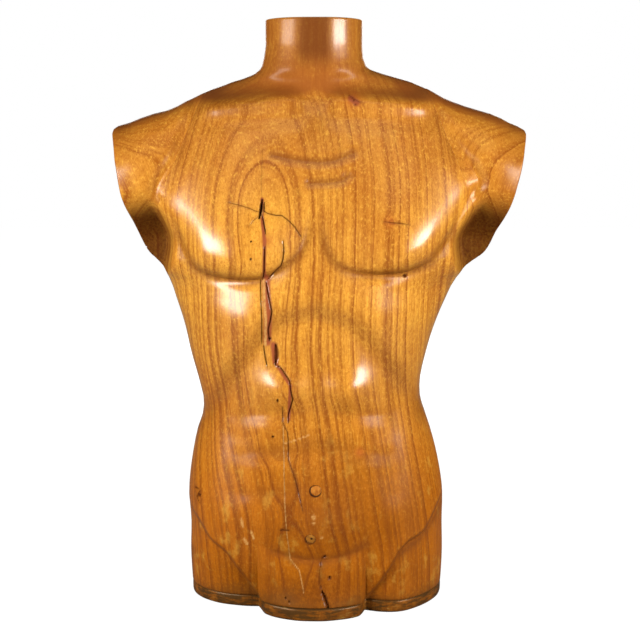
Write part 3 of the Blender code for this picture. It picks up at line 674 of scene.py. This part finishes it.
def base(name):
    """The board under the hips, a little uneven along its front."""
    left, right = -side_end(BOARD_LEVEL, -1), side_end(BOARD_LEVEL, 1)
    turn = -np.cos(np.linspace(0, math.pi, 260)) * 0.5
    x = (left + right) / 2 + (right - left) * turn
    level = np.full(x.shape, BOARD_LEVEL)
    ahead = front(x, level)
    worn = 0.35 * np.sin(x / 7.0) * np.sin(x / 17.0 + 1)
    ahead = np.minimum(ahead + worn * ease(5, 30, ahead), cad_reach(1, -1))
    behind = back(x, level)[::-1]
    xs, ys = [], []
    for _, inset in BOARD_EDGE:
        squeeze = 1 - inset / right
        xs.append(np.concatenate([x * squeeze, x[::-1] * squeeze]))
        ys.append(np.concatenate([-np.maximum(ahead - inset, 0.3),
                                  np.maximum(behind - inset, 0.3)]))
    z = np.array([height for height, _ in BOARD_EDGE])
    return grid_solid(name, np.array(xs), np.array(ys), np.repeat(z[:, None], len(xs[0]), 1))


def countersink(ob, x, y):
    """Open a screw hole through the board, with a seat for the head on the underside."""
    head, shank = SCREW_HEAD / 2 + SCREW_ROOM, SCREW_SHANK / 2 + SCREW_ROOM
    bm = turned([(0, -4.0), (head, -4.0), (head, SEAT[0]), (shank, SEAT[1]),
                 (shank, BASE_THICK + 1), (0, BASE_THICK + 1)])
    bmesh.ops.translate(bm, verts=bm.verts[:], vec=Vector((x, y, 0)) * MM)
    carve(ob, bm)


# ---- face plugs
PLUG_FIT = 0.35            # gap round a plug


def plug_place(x, z):
    """Where a plug meets the carved front, and which way it faces."""
    depth = float(front(x, z))
    slope = (float(front(x, z + 3)) - float(front(x, z - 3))) / 6.0
    return Vector((x, -depth, z)), Vector((0, -1, -slope)).normalized()


def plug(name, x, z, diameter):
    """Round plug with a slightly crowned face and a worn rim."""
    r = diameter / 2
    bm = turned([(0, -PLUG_LENGTH), (r - 0.5, -PLUG_LENGTH), (r, -PLUG_LENGTH + 0.5), (r, -0.5),
                 (r - 0.25, -0.1), (r - 0.9, 0.1), (r * 0.5, 0.2), (0, 0.25)])
    stand_on(bm, *plug_place(x, z))
    bmesh.ops.recalc_face_normals(bm, faces=bm.faces[:])
    return add_object(name, to_mesh(name, bm), PLUG_SHARP)


def plug_hole(ob, x, z, diameter):
    """Bore the hole for a plug into the carved front."""
    radius = (diameter / 2 + PLUG_FIT) * MM
    bm = bmesh.new()
    bmesh.ops.create_cone(bm, cap_ends=True, segments=ROUND_STEPS, radius1=radius,
                          radius2=radius, depth=(PLUG_LENGTH + 1) * 2 * MM)
    stand_on(bm, *plug_place(x, z))
    carve(ob, bm)


# ---- node graphs
class Graph:
    """Small helper that builds one node material."""

    def __init__(self, name):
        self.material = bpy.data.materials.new(name)
        self.material.use_nodes = True
        self.tree = self.material.node_tree
        self.shader = self.tree.nodes["Principled BSDF"]

    def node(self, kind, **settings):
        """Add a node."""
        made = self.tree.nodes.new(kind)
        for key, value in settings.items():
            setattr(made, key, value)
        return made

    def feed(self, socket, value):
        """Link a socket, or set its value."""
        if isinstance(value, bpy.types.NodeSocket):
            self.tree.links.new(value, socket)
        else:
            socket.default_value = value

    def math(self, operation, a, b=0.0):
        """One Math node."""
        made = self.node("ShaderNodeMath", operation=operation)
        self.feed(made.inputs[0], a)
        self.feed(made.inputs[1], b)
        return made.outputs[0]

    def plus(self, a, b):
        """a + b."""
        return self.math("ADD", a, b)

    def less(self, a, b):
        """a - b."""
        return self.math("SUBTRACT", a, b)

    def times(self, a, b):
        """a * b."""
        return self.math("MULTIPLY", a, b)

    def reach(self, a, b):
        """Length of the hypotenuse of a and b."""
        return self.math("SQRT", self.plus(self.times(a, a), self.times(b, b)))

    def span(self, value, low, high, out_low=0.0, out_high=1.0, smooth=True):
        """Map low..high onto out_low..out_high, held level beyond both."""
        made = self.node("ShaderNodeMapRange")
        made.interpolation_type = "SMOOTHSTEP" if smooth else "LINEAR"
        for socket, number in zip(made.inputs, (value, low, high, out_low, out_high)):
            self.feed(socket, number)
        return made.outputs[0]

    def noise(self, vector, scale, detail=2.0, rough=0.5):
        """Noise from 0 to 1."""
        made = self.node("ShaderNodeTexNoise")
        self.feed(made.inputs["Vector"], vector)
        made.inputs["Scale"].default_value = scale
        made.inputs["Detail"].default_value = detail
        made.inputs["Roughness"].default_value = rough
        return made.outputs["Fac"]

    def vector(self, x, y, z):
        """Join three values into a vector."""
        made = self.node("ShaderNodeCombineXYZ")
        for socket, value in zip(made.inputs, (x, y, z)):
            self.feed(socket, value)
        return made.outputs[0]

    def mix(self, factor, a, b):
        """Colour a where factor is 0, colour b where it is 1."""
        made = self.node("ShaderNodeMix", data_type="RGBA")
        self.feed(made.inputs["Factor"], factor)
        self.feed(made.inputs[6], (*a, 1.0) if isinstance(a, tuple) else a)
        self.feed(made.inputs[7], (*b, 1.0) if isinstance(b, tuple) else b)
        return made.outputs[2]

    def attribute(self, label):
        """A point attribute of the mesh, 0 where it has none."""
        return self.node("ShaderNodeAttribute", attribute_name=label).outputs["Fac"]

    def finish(self, color, rough, height, bump=0.3, coat=0.5, coat_rough=0.12):
        """Connect the surface, and return the material."""
        self.feed(self.shader.inputs["Base Color"], color)
        self.feed(self.shader.inputs["Roughness"], rough)
        self.feed(self.shader.inputs["Coat Weight"], coat)
        self.shader.inputs["Coat Roughness"].default_value = coat_rough
        bumped = self.node("ShaderNodeBump")
        bumped.inputs["Strength"].default_value = bump
        bumped.inputs["Distance"].default_value = 0.001
        self.feed(bumped.inputs["Height"], height)
        self.tree.links.new(bumped.outputs[0], self.shader.inputs["Normal"])
        return self.material


# ---- materials
# painted light: the body colour steps from dark at the hips to light at the chest, and the ring
# edges with it, partly the wood's own tone and partly painted fall-off of the light towards the
# bottom
LOW_BODY, HIGH_BODY = (0.31, 0.086, 0.001), (0.50, 0.226, 0.026)      # at the hips, at the chest
LATE_LOW, LATE_WOOD = (0.13, 0.027, 0.002), (0.17, 0.036, 0.003)      # the dark edges of rings
# painted shade: the darker tone over the upper chest and neck is partly the wood's own tone and
# partly painted shade of the surfaces that turn upward
NECK_BODY = (0.33, 0.116, 0.014)
DARK_BLOTCH = (0.29, 0.084, 0.006)
PALE_FIBRE = (0.60, 0.31, 0.055)
DARK_FLECK = (0.19, 0.05, 0.005)
DARK_GRIT, PALE_GRIT = (0.24, 0.07, 0.004), (0.60, 0.32, 0.040)
YELLOW_SMUDGE = (0.46, 0.25, 0.035)
# stain above the shoulder line, partly painted shade; a darker band down the middle of the neck
# base
NECK_STAIN_AND_SHADE, NECK_MIDDLE_DARK = (0.20, 0.055, 0.009), (0.10, 0.025, 0.004)
END_GRAIN, END_GRAIN_LATE = (0.50, 0.27, 0.085), (0.27, 0.10, 0.018)
# aged varnish, and painted shade in the belly hollows and beside the arm cuts
AGED_VARNISH_AND_SHADE = (0.10, 0.024, 0.001)
# painted shade with some dirt, laid in the carved lines
CREASE_SHADE_AND_DIRT = (0.13, 0.034, 0.004)
KNOT_WOOD, RED_WOOD, RAW_WOOD = (0.30, 0.075, 0.010), (0.22, 0.050, 0.016), (0.40, 0.21, 0.06)
# dirt and painted shade in the splits and pits
CRACK_DIRT_AND_SHADE = (0.045, 0.009, 0.002)
# painted shadow round the plugs
PLUG_GAP_SHADOW = (0.035, 0.009, 0.002)
# painted shade towards the outer arm cut
ARM_EDGE_SHADE = (0.16, 0.045, 0.004)
# stain and painted shade in the armpits
PIT_STAIN_AND_SHADE = (0.050, 0.010, 0.001)
FOOT_GRIME = (0.10, 0.034, 0.005)
BOARD_DIRT, BOARD_PALE = (0.030, 0.016, 0.005), (0.26, 0.17, 0.045)
DOT_BLACK = (0.02, 0.010, 0.003)
VARNISH_GLOSS, VARNISH_TINT = 0.16, (1.0, 0.62, 0.25, 1.0)
SWAY, SHIVER = 17.0, 2.4             # how far the rings wander and tremble, in mm
KNOT_PUSH = 12.0                     # how far a knot pushes them aside, in mm


class Wood(Graph):
    """A wood material's place in mm, its grain, and the noises that its marks share."""

    def __init__(self, name, tilt):
        super().__init__(name)
        axes = self.node("ShaderNodeSeparateXYZ")
        self.feed(axes.inputs[0], self.node("ShaderNodeTexCoord").outputs["Object"])
        self.x, self.y, self.z = (self.times(axes.outputs[i], 1000.0) for i in range(3))
        self.side = self.math("ABSOLUTE", self.x)
        self.lean_x = self.plus(self.times(self.x, math.cos(tilt)),
                                self.times(self.less(self.z, 500.0), math.sin(tilt)))
        self.lean_z = self.less(self.times(self.z, math.cos(tilt)),
                                self.times(self.x, math.sin(tilt)))
        self.fibre = self.grain(0.9, 0.035, 4.0, 0.65)
        self.grit = self.upright(0.34, 0.26, 4.0, 0.65)
        self.blotch = self.upright(0.016, 0.011, 4.0, 0.6)

    def tint(self, factor, color):
        """Lay a colour over the wood, as strongly as factor says."""
        self.color = self.mix(factor, self.color, color)

    def grain(self, across, along, detail=2.0, rough=0.5):
        """Noise stretched along the grain; across and along are cycles per millimetre."""
        return self.noise(self.vector(self.times(self.lean_x, across), self.times(self.y, across),
                                      self.times(self.lean_z, along)), 1.0, detail, rough)

    def upright(self, across, along, detail, rough):
        """The same, standing upright however the grain leans."""
        return self.noise(self.vector(self.times(self.x, across), self.times(self.y, across),
                                      self.times(self.z, along)), 1.0, detail, rough)


def chest_pith(g):
    """The pith line close under the left of the chest, drifting with height: its x and y."""
    return (g.span(g.z, 40.0, 330.0, -22.0, -58.0),
            g.plus(g.span(g.z, 300.0, 480.0, -82.0, -104.0),
                   g.span(g.z, 470.0, 560.0, 0.0, -10.0)))


def ring_lines(g, turns, count, weakest):
    """Growth rings: each darkens slowly, then ends in a sharp edge."""
    at = g.times(turns, count)
    phase = g.math("FRACT", at)
    bold = g.noise(g.vector(g.times(g.math("FLOOR", at), 0.73),
                            g.times(g.lean_z, 0.002), 3.0), 1.0, 0.0)
    edge = g.times(g.span(phase, 0.25, 0.84), g.span(phase, 0.88, 1.0, 1.0, 0.0))
    return g.times(edge, g.span(bold, 0.34, 0.64, weakest, 1.0))


def rings(g, pith, ring, marks):
    """The dark lines of the grain, 0 to about 1; knots push them aside."""
    sway = g.times(g.less(g.grain(0.011, 0.0028), 0.5), SWAY)
    shiver = g.times(g.less(g.grain(0.06, 0.011, 3.0, 0.6), 0.5), SHIVER)
    radius = g.reach(g.less(g.lean_x, pith[0]), g.less(g.y, pith[1]))
    radius = g.plus(radius, g.plus(sway, shiver))
    if marks:
        radius = g.plus(radius, g.times(g.attribute("knot"), KNOT_PUSH))
    uneven = g.noise(g.vector(g.times(radius, 0.045), 0.0, 0.0), 1.0, 1.0)
    turns = g.plus(g.math("DIVIDE", radius, ring), g.times(uneven, 2.6))
    line = g.plus(g.times(ring_lines(g, turns, 1.0, 0.40), 0.60),
                  g.times(ring_lines(g, turns, 2.6, 0.15), 0.42))
    line = g.times(line, g.span(g.fibre, 0.25, 0.6, 0.55, 1.15))
    line = g.times(line, g.span(radius, 9.0, 24.0))
    return g.times(line, g.span(g.z, 150.0, 330.0, 1.15, 1.0))


def bare_wood(g, line, low, high, late):
    """The wood under its stains: rings, fibres, flecks and grit, on a tone painted darker towards
    the hips and over the upper chest, partly the wood's own tone and partly painted fall-off of the
    light.
    """
    # painted light: darker towards the hips and over the upper chest, partly painted fall-off of
    # the light
    body = g.mix(g.span(g.z, 90.0, 390.0), low, high)
    body = g.mix(g.span(g.z, 455.0, 540.0, 0.0, 0.65), body, NECK_BODY)
    body = g.mix(g.span(g.blotch, 0.42, 0.66, 0.0, 0.55), body, DARK_BLOTCH)
    late = g.mix(g.span(g.z, 120.0, 330.0), LATE_LOW, late)
    g.color = g.mix(g.math("MINIMUM", line, 0.85), body, late)
    g.tint(g.span(g.fibre, 0.46, 0.72, 0.0, 0.42), late)
    pale = g.times(g.span(g.fibre, 0.46, 0.28, 0.0, 0.30), g.span(g.z, 60.0, 360.0, 0.3, 1.0))
    g.tint(pale, PALE_FIBRE)
    fleck = g.grain(1.6, 0.25, 2.0, 0.6)
    g.tint(g.span(fleck, 0.56, 0.72, 0.0, 0.70), DARK_FLECK)
    g.tint(g.span(g.grit, 0.46, 0.30, 0.0, 0.65), DARK_GRIT)
    pale = g.times(g.span(g.grit, 0.52, 0.72, 0.0, 0.55), g.span(g.z, 60.0, 360.0, 0.25, 1.0))
    g.tint(pale, PALE_GRIT)


def stains_and_shade(g, line):
    """Add yellow smudges, the dark stain above the shoulder line, which is partly painted shade
    where it is darkest just above the collarbones, a darker band down the middle of the neck base,
    and the sawn neck top.
    """
    smudge = g.upright(0.045, 0.030, 5.0, 0.65)
    smudge = g.times(g.span(smudge, 0.55, 0.68), g.span(g.z, 330.0, 120.0, 0.15, 0.5))
    smudge = g.times(smudge, g.span(g.fibre, 0.35, 0.60, 0.35, 1.0))
    g.tint(smudge, YELLOW_SMUDGE)
    edge = g.plus(g.span(g.side, 0.0, 26.0, 605.0, 600.0),
                  g.span(g.side, 60.0, 150.0, 0.0, -6.0))
    edge = g.plus(edge, g.span(g.side, 140.0, 240.0, 0.0, -36.0, False))
    rise = g.less(g.plus(g.z, g.times(g.grit, 5.0)), edge)
    # painted shade: the stain is darkest in a band just above the collarbone line, partly stain and
    # partly painted shade of the upward-turned surfaces
    stain = g.times(g.span(rise, -1.0, 9.0), g.span(rise, 10.0, 60.0, 1.0, 0.55))
    stain = g.times(stain, g.span(g.blotch, 0.30, 0.60, 0.45, 0.90))
    g.tint(stain, NECK_STAIN_AND_SHADE)
    # a darker band down the middle of the neck base
    off_middle = g.math("ABSOLUTE", g.plus(g.x, 2.0))
    stripe = g.times(g.span(g.z, 625.0, 655.0), g.span(off_middle, 30.0, 10.0))
    g.tint(g.times(stripe, 0.85), NECK_MIDDLE_DARK)
    sawn = g.mix(g.math("MINIMUM", line, 0.85), END_GRAIN, END_GRAIN_LATE)
    g.tint(g.span(g.z, 689.0, 689.8, 0.0, 0.92), sawn)


def marked(g):
    """Add the marks that the carved front's mesh carries, and the painted shadow round both plugs.
    """
    # painted shade: the crease, aged and dark masks darken carved lines, hollows and splits, partly
    # as painted shade and partly as dirt and aged varnish
    for label, amount, tint in (("aged_and_shade", g.span(g.grit, 0.3, 0.6, 1.0, 0.7), AGED_VARNISH_AND_SHADE),
                                ("crease", g.span(g.grit, 0.3, 0.6, 1.0, 0.72), CREASE_SHADE_AND_DIRT),
                                ("knot", 0.75, KNOT_WOOD),
                                ("red", 1.0, RED_WOOD),
                                ("raw", g.span(g.grit, 0.35, 0.6, 0.35, 1.0), RAW_WOOD),
                                ("dark", 1.0, CRACK_DIRT_AND_SHADE)):
        g.tint(g.times(g.attribute(label), amount), tint)
    # painted shadow: a dark ring round each plug, set off to the lower left so it is widest there
    for (px, pz), size, amount in ((NAVEL, NAVEL_DIAMETER, 0.95),
                                   (KNOT_PLUG, KNOT_PLUG_DIAMETER, 0.6)):
        away = g.reach(g.less(g.x, px - 0.7), g.less(g.z, pz - 0.7))
        away = g.plus(away, g.times(g.grit, 0.8))
        g.tint(g.span(away, size / 2 + 2.1, size / 2 + 1.0, 0.0, amount), PLUG_GAP_SHADOW)


def soiled_and_shaded(g):
    """Add the armpit darkening, stain with painted shade, and the dirt just above the floor."""
    # painted shade: the armpit hollows are darkened, together with their stain
    pit = g.times(g.attribute("pit"), g.span(g.grit, 0.25, 0.6, 0.98, 0.86))
    g.tint(pit, PIT_STAIN_AND_SHADE)
    grime = g.plus(g.z, g.times(g.less(g.blotch, 0.5), 70.0))
    grime = g.plus(grime, g.times(g.less(g.grit, 0.5), 30.0))
    g.tint(g.span(grime, 38.0, 10.0, 0.0, 0.66), FOOT_GRIME)


def smeared(g):
    """Add the smears on the base board, which is darkest along its two rims."""
    smear = g.upright(0.05, 0.22, 5.0, 0.7)
    foot = g.times(g.span(g.z, 3.5, 0.0), g.span(g.z, 0.05, 0.4, 0.3, 0.9))
    rim = g.math("MAXIMUM", foot, g.span(g.z, 12.0, 14.8, 0.0, 0.9))
    dirt = g.math("MAXIMUM", rim, g.span(smear, 0.60, 0.42, 0.10, 0.85))
    g.tint(dirt, BOARD_DIRT)
    g.tint(g.span(smear, 0.60, 0.72, 0.0, 0.55), BOARD_PALE)


def wood(name, tilt=0.0, pith=None, ring=12.0, marks=False, coat=0.85, shade=None, dirty=False,
         dot=None, low=LOW_BODY, high=HIGH_BODY, late=LATE_WOOD):
    """Varnished softwood.  Growth rings wrap a pith line; tilt leans the grain sideways."""
    g = Wood(name, tilt)
    line = rings(g, pith or chest_pith(g), ring, marks)
    bare_wood(g, line, low, high, late)
    stains_and_shade(g, line)
    height = g.plus(g.times(g.fibre, 0.5), g.times(line, -0.25))
    height = g.plus(height, g.times(g.grit, 0.35))
    rough = g.plus(0.30, g.times(g.grit, 0.16))
    if marks:
        marked(g)
        rough = g.plus(rough, g.times(g.attribute("dark"), 0.3))
        rough = g.plus(rough, g.times(g.attribute("worn"), 0.22))
    else:
        # painted shade: the arm blocks darken towards their outer arm cut
        edge_shade = g.times(g.span(g.side, 196.0, 238.0), g.span(g.blotch, 0.35, 0.6, 0.25, 0.55))
        g.tint(edge_shade, ARM_EDGE_SHADE)
    soiled_and_shaded(g)
    if dirty:
        smeared(g)
    if shade:
        g.tint(*shade)
    if dot:
        away = g.reach(g.less(g.x, dot[0]), g.less(g.z, dot[1]))
        g.tint(g.span(away, dot[2], dot[2] - 0.7, 0.0, 0.95), DOT_BLACK)
    g.shader.inputs["Specular IOR Level"].default_value = VARNISH_GLOSS
    g.shader.inputs["Specular Tint"].default_value = VARNISH_TINT
    clean = g.less(1.0, g.attribute("pit"))
    clean = g.times(clean, g.less(1.0, g.attribute("worn")))
    rough = g.plus(rough, g.times(g.attribute("pit"), 0.35))
    return g.finish(g.color, rough, height, 0.22, g.times(clean, coat), 0.25)


def steel(name):
    """Dull, slightly spotted steel."""
    g = Graph(name)
    place = g.node("ShaderNodeTexCoord").outputs["Object"]
    grain = g.noise(place, 900.0, 3.0)
    g.shader.inputs["Metallic"].default_value = 1.0
    color = g.mix(g.span(grain, 0.35, 0.7), (0.42, 0.40, 0.37), (0.24, 0.20, 0.16))
    return g.finish(color, g.span(grain, 0.3, 0.7, 0.3, 0.5), grain, 0.1, 0.0)


# ---- build
FINE = 1.0
torso_front = body_half("carved_front", front, -1, FINE, True)
torso_back = body_half("carved_back", back, 1, FINE * 1.5, False)
shoulder_left = shoulder("carved_shoulder_left", -1, FINE)
shoulder_right = shoulder("carved_shoulder_right", 1, FINE)
base_board = base("turned_base_board")
for px, py in BASE_SCREWS:
    countersink(base_board, px, py)
base_board.data.set_sharp_from_angle(angle=SHARP_EDGE)
navel_peg = plug("navel_peg_face", *NAVEL, NAVEL_DIAMETER)
knot_plug = plug("knot_plug_face", *KNOT_PLUG, KNOT_PLUG_DIAMETER)
for place, diameter in ((NAVEL, NAVEL_DIAMETER), (KNOT_PLUG, KNOT_PLUG_DIAMETER)):
    plug_hole(torso_front, *place, diameter)

front_wood = wood("front_wood", marks=True)
back_wood = wood("back_wood", pith=(18.0, 60.0), ring=13.0)
left_wood = wood("left_block_wood", tilt=0.42, pith=(-150.0, 20.0), ring=11.0, coat=0.3,
                 high=(0.44, 0.196, 0.022))
right_wood = wood("right_block_wood", tilt=-0.40, pith=(120.0, 25.0), ring=12.0, coat=0.3,
                  high=(0.46, 0.206, 0.023))
base_wood = wood("base_board_wood", pith=(10.0, -30.0), ring=7.0, coat=0.1, dirty=True)
peg_wood = wood("peg_end_wood", pith=(1.5, 0.0), ring=2.2, coat=0.2,
                low=(0.31, 0.11, 0.022))
knot_wood = wood("knot_end_wood", pith=(-6.0, 0.0), ring=2.0, coat=0.1,
                 shade=(0.35, (0.16, 0.11, 0.03)),
                 dot=(KNOT_PLUG[0] + 1.0, KNOT_PLUG[1] + 0.6, 1.7))
beech = wood("dowel_wood", pith=(0.0, 0.0), ring=3.0, coat=0.0, low=(0.62, 0.42, 0.24),
             high=(0.66, 0.46, 0.27), late=(0.42, 0.25, 0.12))
screw_metal = steel("screw_metal")

PIECES = ((torso_front, "torso_front", "varnished_pine", front_wood),
          (torso_back, "torso_back", "varnished_pine", back_wood),
          (shoulder_left, "shoulder_left", "varnished_pine", left_wood),
          (shoulder_right, "shoulder_right", "varnished_pine", right_wood),
          (base_board, "base_board", "base_wood", base_wood),
          (navel_peg, "navel_peg", "plug_wood", peg_wood),
          (knot_plug, "knot_plug", "plug_wood", knot_wood))
for piece, node, slot, material in PIECES:
    piece.data.materials.clear()
    piece.data.materials.append(material)
    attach(piece, "root")
    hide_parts(node)

for name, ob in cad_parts.items():
    if "dowel" in name or "screw" in name:
        for slot in ob.material_slots:
            slot.material = beech if "dowel" in name else screw_metal


# ---- floor, lights, camera
AIR_LIGHT = 0.02                   # strength of the light from all round
AIM = (0, 0, 0.38)                 # where most softboxes point
SIDE_BOX, SIDE_POWER = (0.85, 0.36), 33
LENS = 70.3
CAMERA_PLACE = (0.0048, -1.5, 0.558)
CAMERA_PITCH = math.radians(8.42)


def floor():
    """Dark floor that the camera sees as nearly white."""
    bpy.ops.mesh.primitive_plane_add(size=12.0, location=(0, 0, -0.0002))
    ob = bpy.context.object
    ob.name = "floor"
    g = Graph("pale_floor")
    place = g.node("ShaderNodeTexCoord").outputs["Object"]
    speckle = g.noise(place, 40.0, 2.0)
    color = g.mix(speckle, (0.08, 0.08, 0.08), (0.09, 0.09, 0.09))
    seen = g.node("ShaderNodeLightPath").outputs["Is Camera Ray"]
    g.feed(g.shader.inputs["Emission Color"], (1, 1, 1, 1))
    far = g.node("ShaderNodeVectorMath", operation="LENGTH")
    g.feed(far.inputs[0], place)
    glow = g.span(far.outputs["Value"], 0.25, 1.4, 0.93, 1.0)
    g.feed(g.shader.inputs["Emission Strength"], g.math("MULTIPLY", seen, glow))
    ob.data.materials.append(g.finish(color, 0.9, speckle, 0.02, 0.0))


def softbox(name, place, aim, size, power, glints=True, warmth=(1.0, 0.97, 0.92)):
    """Rectangular lamp, unseen by the camera; without glints, also by reflections."""
    light = bpy.data.lights.new(name, "AREA")
    light.shape = "RECTANGLE"
    light.size, light.size_y = size
    light.energy = power
    light.color = warmth
    ob = bpy.data.objects.new(name, light)
    ob.location = place
    ob.rotation_euler = (Vector(aim) - Vector(place)).to_track_quat("-Z", "Y").to_euler()
    ob.visible_camera = False
    ob.visible_glossy = glints
    bpy.context.scene.collection.objects.link(ob)


def studio_air():
    """White behind the object, a softer grey light on it."""
    world = bpy.data.worlds.new("studio")
    world.use_nodes = True
    tree = world.node_tree
    light = tree.nodes["Background"]
    light.inputs[0].default_value = (1, 1, 1, 1)
    light.inputs[1].default_value = AIR_LIGHT
    behind = tree.nodes.new("ShaderNodeBackground")
    behind.inputs[0].default_value = (1, 1, 1, 1)
    seen = tree.nodes.new("ShaderNodeLightPath")
    mix = tree.nodes.new("ShaderNodeMixShader")
    tree.links.new(seen.outputs["Is Camera Ray"], mix.inputs[0])
    tree.links.new(light.outputs[0], mix.inputs[1])
    tree.links.new(behind.outputs[0], mix.inputs[2])
    tree.links.new(mix.outputs[0], tree.nodes["World Output"].inputs[0])
    bpy.context.scene.world = world


floor()
softbox("softbox_left", (-1.05, -0.84, 0.56), AIM, SIDE_BOX, SIDE_POWER)
softbox("softbox_right", (1.05, -0.84, 0.56), AIM, SIDE_BOX, SIDE_POWER)
softbox("softbox_top", (0, -1.2, 1.9), (0, 0, 0.3), (1.6, 1.0), 4)
softbox("fill_back", (0, 2.0, 0.75), AIM, (1.8, 0.9), 46, glints=False)
softbox("softbox_back", (0, 2.0, 0.8), AIM, (1.4, 0.7), 7)
studio_air()
bpy.context.scene.view_settings.view_transform = "Standard"

camera = bpy.data.objects.new("camera", bpy.data.cameras.new("camera"))
camera.data.lens = LENS
camera.location = CAMERA_PLACE
camera.rotation_euler = (math.pi / 2 - CAMERA_PITCH, 0, 0)
bpy.context.scene.collection.objects.link(camera)
bpy.context.scene.camera = camera
